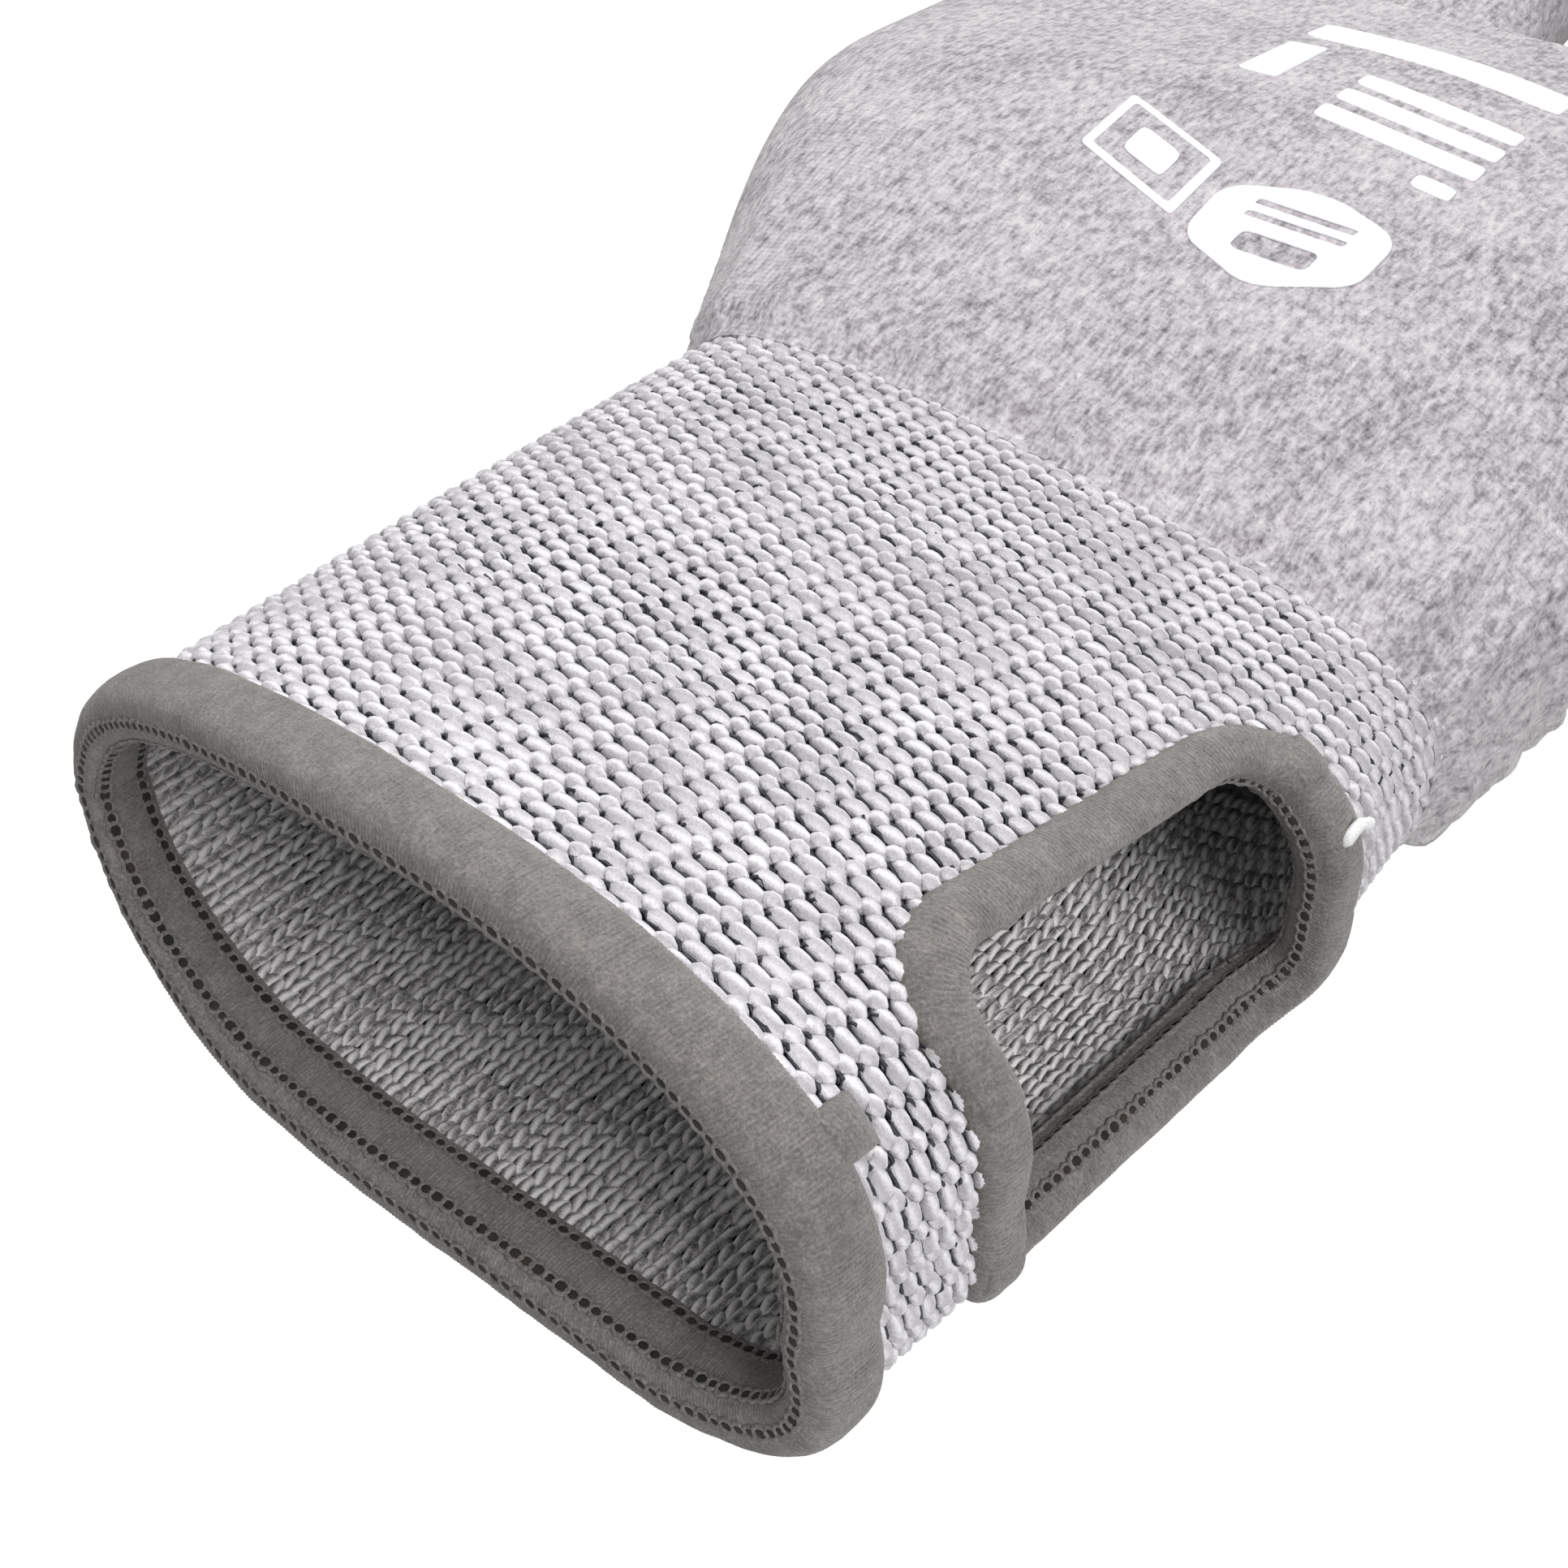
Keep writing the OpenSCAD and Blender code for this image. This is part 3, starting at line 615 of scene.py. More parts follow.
def painted(geometry, material):
    return geometry.make("GeometryNodeSetMaterial", None, {"Geometry": geometry, "Material": material})


def named(wires, name, kind="FLOAT_VECTOR"):
    return wires.make("GeometryNodeInputNamedAttribute", {"data_type": kind}, {"Name": name})


print("helpers ready")

# %% [markdown]
# One course of knitting is one yarn that swings up and down once a stitch. With a small swing it
# is a thick rope that swells twice a stitch, as the purl ridges outside do, and with a large one
# it shows the V stitches of the inside. The tree moves the points of each course's guide by that
# rule and sweeps a small round profile along it.
# %% The tree that knits
def knitting_tree():
    tree, start, put = new_tree(
        "knit_course", side_swing=0.0001, row_swing=0.0007, depth_swing=0.0004, pinch=0.0, swell=0.0,
        yarn_radius=0.0005, uneven=0.1, wander=0.0, profile_points=6, seed=1.0,
        yarn="material")
    turn = named(start, "stitch", "FLOAT") * (2 * math.pi)
    twice = turn * 2.0
    side = put["side_swing"] * start.math("SINE", twice) - put["pinch"] * start.math("SINE", turn)
    height = put["depth_swing"] * start.math("COSINE", twice)
    swings = [("along_row", side), ("outward", height),
              ("up_row", put["row_swing"] * start.math("COSINE", turn))]
    steps = [named(start, name).scaled(amount) for name, amount in swings]
    offset = steps[0].vector("ADD", steps[0], steps[1])
    offset = offset.vector("ADD", offset, steps[2])
    where = start.make("GeometryNodeInputPosition")
    seeded = where.vector("ADD", where, start.make("ShaderNodeCombineXYZ", None, {2: put["seed"]}))
    stray = noise(start, seeded, 520.0, 1.0).out("Color")
    stray = stray.vector("SUBTRACT", stray, (0.5, 0.5, 0.5)).scaled(put["wander"])
    offset = offset.vector("ADD", offset, stray)
    moved = start.make("GeometryNodeSetPosition", None, {"Geometry": start, "Offset": offset})
    curves = start.make("GeometryNodeMeshToCurve", None, {"Mesh": moved})
    profile = start.make("GeometryNodeCurvePrimitiveCircle", None,
                         {"Resolution": put["profile_points"], "Radius": 1.0})
    profile = start.make("GeometryNodeStoreNamedAttribute",
                         {"data_type": "FLOAT_VECTOR", "domain": "POINT"},
                         {"Geometry": profile, "Name": "spin", "Value": where})
    lumps = noise(start, seeded, 330.0, 1.0)
    calm = named(start, "calm", "FLOAT")
    swell = put["swell"] * start.math("COSINE", twice) * (1.0 - calm) + calm * 0.14
    thick = put["yarn_radius"] * (1.0 + swell + put["uneven"] * (lumps * 4.0 - 2.0))
    yarn = start.make("GeometryNodeCurveToMesh", None, {
        "Curve": curves, "Profile Curve": profile, "Scale": thick, "Fill Caps": True})
    end_tree(painted(yarn, put["yarn"]))
    return tree


knit_course = knitting_tree()
print("nodes in the knitting tree:", len(knit_course.nodes))

# %% [markdown]
# The guides are the courses' middle lines on the cuff's wall. They stop short of the window,
# inside its binding. Every course has the same number of stitches, and each may start a little
# further round than the one before it, which slants the wales. Near the mouth the yarn is calm:
# its swell fades there.
# %% Guides of the cuff's courses
wales = 60
course_pitch = 1.5
first_course = mouth_bind_w - 1.2
courses = np.arange(first_course, cuff_l - 0.3, course_pitch)
under_binding = win_bind_w - 2.0


def course_guides(rows, depth, points_per_stitch, slant=0.0, around=wales):
    """Points, edges and attributes of the courses at the distances rows, depth mm through the wall.
    Each course's stitches lie slant of a stitch further on than those of the course before."""
    count = around * points_per_stitch
    points, edges, stitch, along, calm = [], [], [], [], []
    frames = {"along_row": [], "up_row": [], "outward": []}
    for y in rows:
        shares = (np.arange(count) + 0.5) / count
        t, way = row_angles(y, shares)
        p = cuff_point(y, t, depth)
        ahead = np.roll(p, -1, 0) - np.roll(p, 1, 0)
        ahead /= np.linalg.norm(ahead, axis=1, keepdims=True)
        up = cuff_point(y + 0.5, t, depth) - cuff_point(y - 0.5, t, depth)
        up /= np.linalg.norm(up, axis=1, keepdims=True)
        out = np.cross(up, ahead)
        out *= np.sign(np.sum(out * (cuff_point(y, t, cuff_t) - cuff_point(y, t, 0)), 1))[:, None]
        keep = window_gap(y, around_mm(t)) > under_binding
        first = len(points)
        order = np.arange(count)
        if not keep.all():
            order = np.roll(order, -int(np.flatnonzero(~keep)[-1]) - 1)
            order = order[keep[order]]
        points += list(p[order])
        stitch += list(shares[order] * around + slant * (y - first_course) / course_pitch)
        calm += list(smooth((16 - y - 6 * np.cos(np.radians(t[order] + 60))) / 12))
        along += list(shares[order] * way)
        for key, value in (("along_row", ahead), ("up_row", up), ("outward", out)):
            frames[key] += list(value[order])
        n = len(order)
        edges += [(first + i, first + i + 1) for i in range(n - 1)]
        if keep.all():
            edges.append((first + n - 1, first))
    arrows = {key: np.array(value) for key, value in frames.items()}
    return points, edges, dict(stitch=stitch, along=along, calm=calm, **arrows)


def knit(name, rows, depth, points_per_stitch, slant=0.0, around=wales, **values):
    points, edges, traits = course_guides(rows, depth, points_per_stitch, slant, around)
    return run_tree(new_piece(name, points, edges=edges, **traits), knit_course, **values)


print(len(courses), "courses of", wales, "stitches,", course_pitch, "mm apart")

# %% [markdown]
# The outer yarn is fat and pale and shows its purl side. Between its ridges runs a thin black
# thread, which comes up here and there as small dark commas. The inner yarn is a dark and light
# melange that shows its V side. Both are made in bands, to keep the meshes small.
# %% Knit the cuff
cuff_pieces = []
for number, rows in enumerate(np.array_split(courses, 3), 1):
    cuff_pieces.append(knit(
        f"cuff_purl_band_{number}", rows, cuff_t - 0.70, 12, slant=0.10, side_swing=0.00010,
        row_swing=0.00026, depth_swing=0.00016, pinch=0.00016, swell=0.09,
        yarn_radius=0.00052, uneven=0.05, wander=0.00022, profile_points=9, seed=1.0, yarn=cuff_yarn))
for number, rows in enumerate(np.array_split(courses, 4), 1):
    cuff_pieces.append(knit(
        f"cuff_inside_band_{number}", rows, 0.35, 10, around=100, side_swing=0.00007,
        row_swing=0.00100, depth_swing=0.00026, yarn_radius=0.00038, uneven=0.14,
        wander=0.00026, profile_points=6, seed=2.0, yarn=inner_yarn))
plating = knit(
    "cuff_plating_thread", courses[:-1] + 0.5 * course_pitch, cuff_t - 0.74, 10, slant=0.16,
    side_swing=0.00020, row_swing=0.00022, depth_swing=0.00026, pinch=0.00020,
    yarn_radius=0.00013, uneven=0.0, wander=0.00080, profile_points=4, seed=3.0, yarn=thread_black)
inlay_rows = np.array([9.5, 14, 24, 33, 42, 55, 61])
inlay = knit(
    "cuff_elastic_inlay", inlay_rows, 0.95, 6, side_swing=0.0, row_swing=0.0, depth_swing=0.0001,
    yarn_radius=0.00022, uneven=0.0, wander=0.0, profile_points=6, seed=4.0,
    yarn=elastic_yarn)


# %% [markdown]
# Between the two faces lies a thin layer, so that light doesn't come through the gaps. Its dark
# colour is painted shade: it shows between the outer ridges as the shaded slots there. It is one
# closed wall with the window cut out of its grid.
# %% The layer between the faces
def core_layer():
    row_step = 0.5
    turns = 360
    rows = np.arange(first_course, cuff_l - 0.2, row_step)
    low, high = 0.80, 1.05  # the layer's two faces, in mm through the wall
    shares = (np.arange(turns) + 0.5) / turns
    t = np.array([row_angles(y, shares)[0] for y in rows])
    y = np.repeat(rows[:, None], turns, 1)
    keep = window_gap(y, around_mm(t)) > under_binding + row_step
    points = np.concatenate([cuff_point(y, t, low).reshape(-1, 3), cuff_point(y, t, high).reshape(-1, 3)])
    index = np.arange(len(rows) * turns).reshape(len(rows), turns)
    corners = [index[:-1], index[1:], np.roll(index, -1, 1)[1:], np.roll(index, -1, 1)[:-1]]
    good = np.all([keep[:-1], keep[1:], np.roll(keep, -1, 1)[1:], np.roll(keep, -1, 1)[:-1]], 0)
    quads = np.stack([c[good] for c in corners], 1)
    faces = walled(quads.tolist(), len(rows) * turns)
    return outward_faces(new_piece("cuff_core_layer", points, faces, material=painted_core_shade))


core = core_layer()
print("core layer:", len(core.data.polygons), "faces")

# %% [markdown]
# An overlock covers a cut edge with a fat roll of thread. The roll's own shape is a rounded
# outline carried round the edge, as a fine grid of points. The tree then raises each turn of
# thread on it and makes the turns a little uneven.
# %% The tree that wraps thread round an edge
def wrapping_tree():
    tree, start, put = new_tree("thread_wrap", ridge=0.00006, uneven=0.0002, seed=1.0, thread="material")
    edge = named(start, "edge")
    turn = start.make("ShaderNodeSeparateXYZ", None, {0: edge}).out("Y")
    wave = start.math("ABSOLUTE", start.math("SINE", turn * math.pi))
    where = start.make("GeometryNodeInputPosition")
    shifted = where.vector("ADD", where, start.make("ShaderNodeCombineXYZ", None, {0: put["seed"]}))
    rough = noise(start, shifted, 260.0, 3.0, 0.6)
    height = put["ridge"] * wave + put["uneven"] * (rough - 0.5)
    normal = start.make("GeometryNodeInputNormal")
    moved = start.make("GeometryNodeSetPosition", None,
                       {"Geometry": start, "Offset": normal.scaled(height)})
    end_tree(painted(moved, put["thread"]))
    return tree


thread_wrap = wrapping_tree()


def roll_outline(width, count=30):
    """(distance from the knit's edge, place through the wall) round an overlock's section."""
    b = np.linspace(0, 2 * math.pi, count, endpoint=False)
    e = (width - bind_lip) / 2 + (width + bind_lip) / 2 * signed_pow(np.cos(b), 0.72)
    s = cuff_t / 2 + (cuff_t / 2 + bind_t) * signed_pow(np.sin(b), 0.62)
    return e, s


def ring_faces(rows, columns):
    """Faces of a grid that closes on itself both ways, facing outwards."""
    i, j = np.meshgrid(np.arange(rows), np.arange(columns), indexing="ij")
    a, b = i * columns + j, i * columns + (j + 1) % columns
    c, d = (i + 1) % rows * columns + (j + 1) % columns, (i + 1) % rows * columns + j
    return np.stack([a, b, c, d], -1).reshape(-1, 4).tolist()


thread_pitch = 0.3


def overlock_roll(name, place, length, width, **values):
    """An overlock: place(rows, e, s) gives the wall's points at rows along the edge."""
    rows = int(length / thread_pitch) * 4
    e, s = roll_outline(width)
    points = place(rows, e, s)
    turns = np.repeat(np.arange(rows)[:, None] / 4, len(e), 1) + np.linspace(0, 2, len(e))[None] * 0.5
    over = np.repeat(np.arange(len(e))[None] * 0.5, rows, 0)
    edge = np.stack([np.repeat(np.arange(rows)[:, None] * length / rows, len(e), 1), turns, over], -1)
    piece = new_piece(name, points, ring_faces(rows, len(e)), edge=edge.reshape(-1, 3))
    return run_tree(outward_faces(piece), thread_wrap, **values)


def at_mouth(rows, e, s):
    shares = np.arange(rows) / rows
    t = row_angles(bind_lip, shares)[0]
    return cuff_point(bind_lip + e[None], t[:, None], s[None])


def at_window(rows, e, s):
    path = window_path(rows)[0]
    y = path[:, :1] + path[:, 2:3] * e
    a = path[:, 1:2] + path[:, 3:4] * e
    return cuff_point(y, angle_at(a), s[None])


mouth_way = row_angles(bind_lip, [0])[1]
window_way = window_path(8)[1]
mouth_roll = overlock_roll("mouth_overlock", at_mouth, mouth_way, mouth_bind_w - bind_lip,
                           ridge=0.00007, uneven=0.00030, seed=1.0, thread=binding_thread)
window_roll = overlock_roll("window_overlock", at_window, window_way, win_bind_w,
                            ridge=0.00007, uneven=0.00026, seed=2.0, thread=binding_thread)

# %% [markdown]
# The overlock's own chain lies in two rows on the inner side: small loops of thread, each with a
# dark spot of painted shade where its needle hole is. One loop is a squashed ring, and the tree
# puts one on every guide point, turned to lie along the edge.
# %% The tree that chains loops
def chaining_tree():
    tree, start, put = new_tree("chain_loops", loop_length=0.0012, loop_width=0.0008,
                                thread_radius=0.00017, seed=1.0, thread="material", hole="material")
    ring = start.make("GeometryNodeCurvePrimitiveCircle", None, {"Resolution": 8, "Radius": 0.5})
    stretch = start.make("ShaderNodeCombineXYZ", None, {
        0: put["loop_length"], 1: put["loop_width"], 2: 1.0})
    ring = start.make("GeometryNodeTransform", None, {"Geometry": ring, "Scale": stretch})
    profile = start.make("GeometryNodeCurvePrimitiveCircle", None,
                         {"Resolution": 5, "Radius": put["thread_radius"]})
    loop = start.make("GeometryNodeCurveToMesh", None, {"Curve": ring, "Profile Curve": profile})
    loop = painted(loop, put["thread"])
    # Inside each loop a squashed ball is painted dark: painted shade where the needle hole shows.
    shade_spot = start.make("GeometryNodeMeshIcoSphere", None, {"Radius": 0.5, "Subdivisions": 2})
    squash = start.make("ShaderNodeCombineXYZ", None, {
        0: put["loop_length"] * 0.8, 1: put["loop_width"] * 0.75, 2: 0.00022})
    shade_spot = start.make("GeometryNodeTransform", None, {"Geometry": shade_spot, "Scale": squash})
    shade_spot = painted(shade_spot, put["hole"])
    join = start.make("GeometryNodeJoinGeometry")
    for part in (loop, shade_spot):
        tree.links.new(part.socket, join.socket.node.inputs[0])
    points = start.make("GeometryNodeMeshToPoints", None, {"Mesh": start})
    turned = start.make("FunctionNodeAxesToRotation", {"primary_axis": "X", "secondary_axis": "Z"}, {
        "Primary Axis": named(start, "ahead"), "Secondary Axis": named(start, "outward")})
    chance = start.make("FunctionNodeRandomValue", {"data_type": "FLOAT"}, {
        "Min": 0.82, "Max": 1.15, "Seed": 7}, out=1)
    placed = start.make("GeometryNodeInstanceOnPoints", None, {
        "Points": points, "Instance": join, "Rotation": turned, "Scale": chance})
    end_tree(placed)
    return tree


chain_loops = chaining_tree()


def chain_row(name, place, length, rows, pitch, **values):
    """Loops every pitch mm along an edge. A row is (distance from the edge, through the wall, and
    the same two for the way that its loops face)."""
    count = int(length / pitch)
    points, ahead, outward = [], [], []
    for e, s, face_e, face_s in rows:
        p = place(count, np.array([e]), np.array([s]))[:, 0]
        q = place(count, np.array([e + face_e]), np.array([s + face_s]))[:, 0]
        step = np.roll(p, -1, 0) - np.roll(p, 1, 0)
        points.append(p)
        ahead.append(step / np.linalg.norm(step, axis=1, keepdims=True))
        outward.append((q - p) / np.linalg.norm(q - p, axis=1, keepdims=True))
    piece = new_piece(name, np.concatenate(points), ahead=np.concatenate(ahead),
                      outward=np.concatenate(outward))
    return run_tree(piece, chain_loops, **values)


chain_looks = dict(thread=chain_thread, hole=needle_hole_shade, loop_width=0.0009, thread_radius=0.00017)
front, inner_face = -bind_lip - 0.02, -bind_t - 0.02
front_row = (front, 0.75, -1, 0)
corner_row = (0.15, inner_face + 0.04, -0.3, -1)
mouth_chain = chain_row("mouth_chain", at_mouth, mouth_way,
                        [front_row, corner_row, (mouth_bind_w - bind_lip - 1.3, inner_face, 0, -1)],
                        1.05, loop_length=0.0011, **chain_looks)
window_chain = chain_row("window_chain", at_window, window_way,
                         [front_row, corner_row, (win_bind_w - 1.0, inner_face, 0, -1)],
                         1.0, loop_length=0.00105, **chain_looks)

# %% [markdown]
# The overlock starts and ends with a small tack on the mouth, and the window's overlock runs over
# itself at three places. Each is a low pad of the same thread, wrapped as the edges are.
# %% Tack, joins and the loose thread end
def thread_pad(name, place, y, t, base, height, seed):
    """A rounded pad over an edge, from y[0] to y[1] and t[0] to t[1]."""
    n = 26  # points each way
    u, v = np.meshgrid(np.linspace(-1, 1, n), np.linspace(-1, 1, n), indexing="ij")
    dome = np.maximum(0, (1 - u ** 2) * (1 - v ** 2)) ** 0.6
    ys, ts = lerp(y[0], y[1], (u + 1) / 2), lerp(t[0], t[1], (v + 1) / 2)
    top = place(ys, ts, base + height * dome)
    low = place(ys, ts, base - 0.5 + 0 * dome)
    points = np.concatenate([top.reshape(-1, 3), low.reshape(-1, 3)])
    grid = np.arange(n * n).reshape(n, n)
    quads = np.stack([grid[:-1, :-1], grid[1:, :-1], grid[1:, 1:], grid[:-1, 1:]], -1).reshape(-1, 4)
    rim = np.concatenate([grid[0, :-1], grid[:-1, -1], grid[-1, :0:-1], grid[:0:-1, 0]])
    after = np.roll(rim, -1)
    faces = quads.tolist() + (quads[:, ::-1] + n * n).tolist()
    faces += np.stack([rim, after, after + n * n, rim + n * n], 1).tolist()
    edge = np.stack([ys, ts, u * 3], -1).reshape(-1, 3)
    piece = new_piece(name, points, faces, edge=np.concatenate([edge, edge]))
    return run_tree(outward_faces(piece), thread_wrap, ridge=0.00005, uneven=0.0002, seed=seed,
                    thread=binding_thread)


bind_top = cuff_t + bind_t - 0.25
win_end = win_y + win_l
tack = thread_pad("mouth_tack_pad", cuff_point, (mouth_bind_w - 1.4, mouth_bind_w + 2.0), (31, 40),
                  bind_top - 0.3, 0.9, 5.0)
joins = [thread_pad("window_join_1", cuff_point, (win_y - win_bind_w + 0.4, win_y + 0.6), (21, 27),
                    bind_top, 0.55, 6.0),
         thread_pad("window_join_2", cuff_point, (win_y - win_bind_w + 0.4, win_y + 0.6), (-16, -9),
                    bind_top, 0.55, 7.0),
         thread_pad("window_join_3", cuff_point, (win_end - 0.5, win_end + win_bind_w - 0.3),
                    (win_hi - 14, win_hi - 5), bind_top, 0.7, 8.0)]


def strand(name, points, radius, material, sides=8):
    """A closed tube of thread through points in millimetres, rounded off at its ends."""
    p = np.asarray(points, float)
    way = distances(p)
    count = max(8, int(way[-1] / (radius * 0.8)))
    at = np.linspace(0, way[-1], count)
    p = np.stack([np.interp(at, way, p[:, k]) for k in range(3)], 1)
    ahead = np.gradient(p, axis=0)
    ahead /= np.linalg.norm(ahead, axis=1, keepdims=True)
    side = np.cross(ahead, [0.3, 0.2, 1.0])
    side /= np.linalg.norm(side, axis=1, keepdims=True)
    up = np.cross(side, ahead)
    end = np.minimum(at, way[-1] - at) / radius
    size = radius * np.sqrt(1 - (1 - np.clip(end, 0.1, 1)) ** 2)
    g = np.linspace(0, 2 * math.pi, sides, endpoint=False)
    rings = (p[:, None] + size[:, None, None]
             * (np.cos(g)[None, :, None] * side[:, None] + np.sin(g)[None, :, None] * up[:, None]))
    i, j = np.meshgrid(np.arange(count - 1), np.arange(sides), indexing="ij")
    k = (j + 1) % sides
    quads = np.stack([i * sides + j, i * sides + k, (i + 1) * sides + k, (i + 1) * sides + j], -1)
    faces = quads.reshape(-1, 4).tolist()
    faces += [list(range(sides))[::-1], list(range((count - 1) * sides, count * sides))]
    spin = np.tile(np.stack([np.cos(g), np.sin(g), 0 * g], 1), (count, 1))
    piece = new_piece(name, rings.reshape(-1, 3), faces, material=material, spin=spin,
                      along=np.repeat(at, sides))
    return outward_faces(piece)


tail_root = cuff_point(win_end + 0.4, 20, cuff_t + bind_t + 0.1)
tail_way = np.array([(0, -0.5, -0.5), (0.1, 0.2, 0.25), (0.1, 1.0, 0.5), (0.3, 1.7, 0.2),
                     (0.2, 2.4, -0.1)])
tail = strand("loose_thread_end", tail_root + tail_way, 0.42, white_thread)
print("pads, joins and one loose end")

# %% [markdown]
# The hand is one seamless tube, so it starts as one surface: solid lofts of the palm, the gusset
# and the five digits are merged by a voxel remesh, and smoothing turns their joints into the soft
# webs between the fingers.
# %% Lofts of the hand and its digits
def place_in(points, where):
    """Turns (u, v, z) by a frame (x, y, turn towards -X)."""
    x, y, turn = where
    c, s = math.cos(math.radians(turn)), math.sin(math.radians(turn))
    p = np.asarray(points, float)
    return np.stack([x + p[..., 0] * c - p[..., 1] * s, y + p[..., 0] * s + p[..., 1] * c,
                     p[..., 2]], -1)


hand_frame = (hand_x, hand_y, lean)


def hand_section(v):
    left_l, right_start, right_l = 58, 8, 42  # how far the palm takes to reach its full width
    widen = palm_half - wrist_half
    left = wrist_half + widen * math.sin(math.radians(90 * min(1, v / left_l))) ** 1.5
    right = wrist_half + widen * float(smooth((v - right_start) / right_l))
    rise = (palm_h - wrist_h) * math.sin(math.radians(180 * float(clamp01(v / hand_l))))
    fall = (wrist_h - finger_h - 2) * float(smooth((v - 45) / (hand_l - 45)))
    top = wrist_h + rise - fall
    return ((right - left) / 2, (right + left) / 2, top / 2, top / 2, top / 2 + press,
            lerp(3.2, 2.7, float(clamp01(v / 40))), lerp(2.3, 2.8, float(clamp01(v / 40))), 0, 0, 0)


def digit_frame(name):
    digit = DIGITS[name]
    clear = 0 if name == "thumb" else finger_w / 2 * math.sin(math.radians(abs(digit["turn"])))
    x, y, _ = place_in([digit["root"][0], digit["root"][1] + clear, 0], hand_frame)
    return x, y, lean + digit["turn"]


def digit_reach(name):
    return DIGITS[name]["length"] + (thumb_web if name == "thumb" else 0)


def digit_section(name, s):
    digit, reach = DIGITS[name], digit_reach(name)
    slim = 1 - 0.14 * float(clamp01(s / reach))
    over = float(clamp01((s - reach + tip_dome) / tip_dome))
    dome = math.sqrt(max(0, 1 - over * over))
    mid = digit["height"] / 2
    tall = mid * (1 - 0.12 * float(clamp01(s / reach))) * max(0.02, dome ** 0.8)
    half = slim * digit["width"] / 2 * max(0.02, dome)
    return (0, half, mid, tall, tall + press * dome, 2.5, 2.6, 0, 0, 0)


def section_ring(q, v, where, turns):
    x, z = section_point(q, turns)
    return place_in(np.stack([x, np.full_like(x, v), z], -1), where)


def add_loft(points, faces, rings):
    """Adds a closed solid through rings of equal count to the lists."""
    first, n, m = len(points), len(rings[0]), len(rings)
    for r in rings:
        points.extend(r.tolist())
    for j in range(m - 1):
        for i in range(n):
            k = (i + 1) % n
            a = first + j * n
            faces.append((a + i, a + k, a + n + k, a + n + i))
    faces.append([first + i for i in range(n)][::-1])
    faces.append([first + (m - 1) * n + i for i in range(n)])


voxel = 0.95
turns = np.linspace(0, 360, 64, endpoint=False)
solid_points, solid_faces = [], []
wrist_ring = section_ring(cuff_section(cuff_l), cuff_l - 1, (0, 0, 0), turns)
hand_ring = section_ring(hand_section(18), 18, hand_frame, turns)
palm = [wrist_ring - [0, 8, 0], wrist_ring - [0, 3, 0]]
palm += [lerp(wrist_ring, hand_ring, k) for k in np.linspace(0, 1, 5)]
palm += [section_ring(hand_section(v), v, hand_frame, turns) for v in np.arange(22, 97, 3.0)]
palm += [section_ring(hand_section(96.5), 97.5, hand_frame, turns)]
add_loft(solid_points, solid_faces, palm)
for name in DIGITS:
    reach_start = 48.0 if name == "thumb" else -14.0
    rings = []
    if name == "thumb":
        inner = section_ring((0, 15.5, 10.5, 9.5, 10.5 + press, 2.8, 2.8, 0, 0, 0), 0, (0, 0, 0), turns)
        foot = place_in(np.stack([0 * inner[:, 0] + 30, 41 + inner[:, 0], inner[:, 2]], -1), hand_frame)
        rings.append(np.roll(foot[::-1], 33, 0))
    reach_rows = np.arange(reach_start, digit_reach(name) - tip_dome, 3.0)
    dome_rows = digit_reach(name) - tip_dome + tip_dome * np.sin(np.radians(np.arange(0, 86, 8)))
    for s in np.concatenate([reach_rows, dome_rows]):
        rings.append(section_ring(digit_section(name, s), s, digit_frame(name), turns))
    add_loft(solid_points, solid_faces, rings)
hand_solid = new_piece("hand_solid", solid_points, solid_faces)
outward_faces(hand_solid)
remesh = hand_solid.modifiers.new("merge", "REMESH")
remesh.mode = "VOXEL"
remesh.voxel_size = voxel * MM
settle(hand_solid)
print("merged hand:", len(hand_solid.data.polygons), "faces")

# %% [markdown]
# Where the fine hand knit meets the tighter cuff, it gathers: small pleats run from the border
# and fade over the back of the hand. An empty glove also lies in broad, soft hollows. Both are
# moves of the surface along its normals, worked out from the place of each point in the hand.
# %% Smooth the hand, then gather and slacken it
def mesh_arrays(piece):
    co = np.empty(len(piece.data.vertices) * 3)
    piece.data.vertices.foreach_get("co", co)
    no = np.empty(len(piece.data.vertices) * 3)
    piece.data.vertices.foreach_get("normal", no)
    return co.reshape(-1, 3) / MM, no.reshape(-1, 3)


def in_frame(points, where):
    """(u, v, z) of points in a frame, the reverse of place_in."""
    x, y, turn = where
    c, s = math.cos(math.radians(turn)), math.sin(math.radians(turn))
    dx, dy = points[:, 0] - x, points[:, 1] - y
    return np.stack([dx * c + dy * s, -dx * s + dy * c, points[:, 2]], 1)


def smooth_mesh(piece, passes, factor=0.5):
    bm = bmesh.new()
    bm.from_mesh(piece.data)
    for _ in range(passes):
        bmesh.ops.smooth_vert(bm, verts=bm.verts, factor=factor, use_axis_x=True, use_axis_y=True,
                              use_axis_z=True)
    bm.to_mesh(piece.data)
    bm.free()
    piece.data.update()


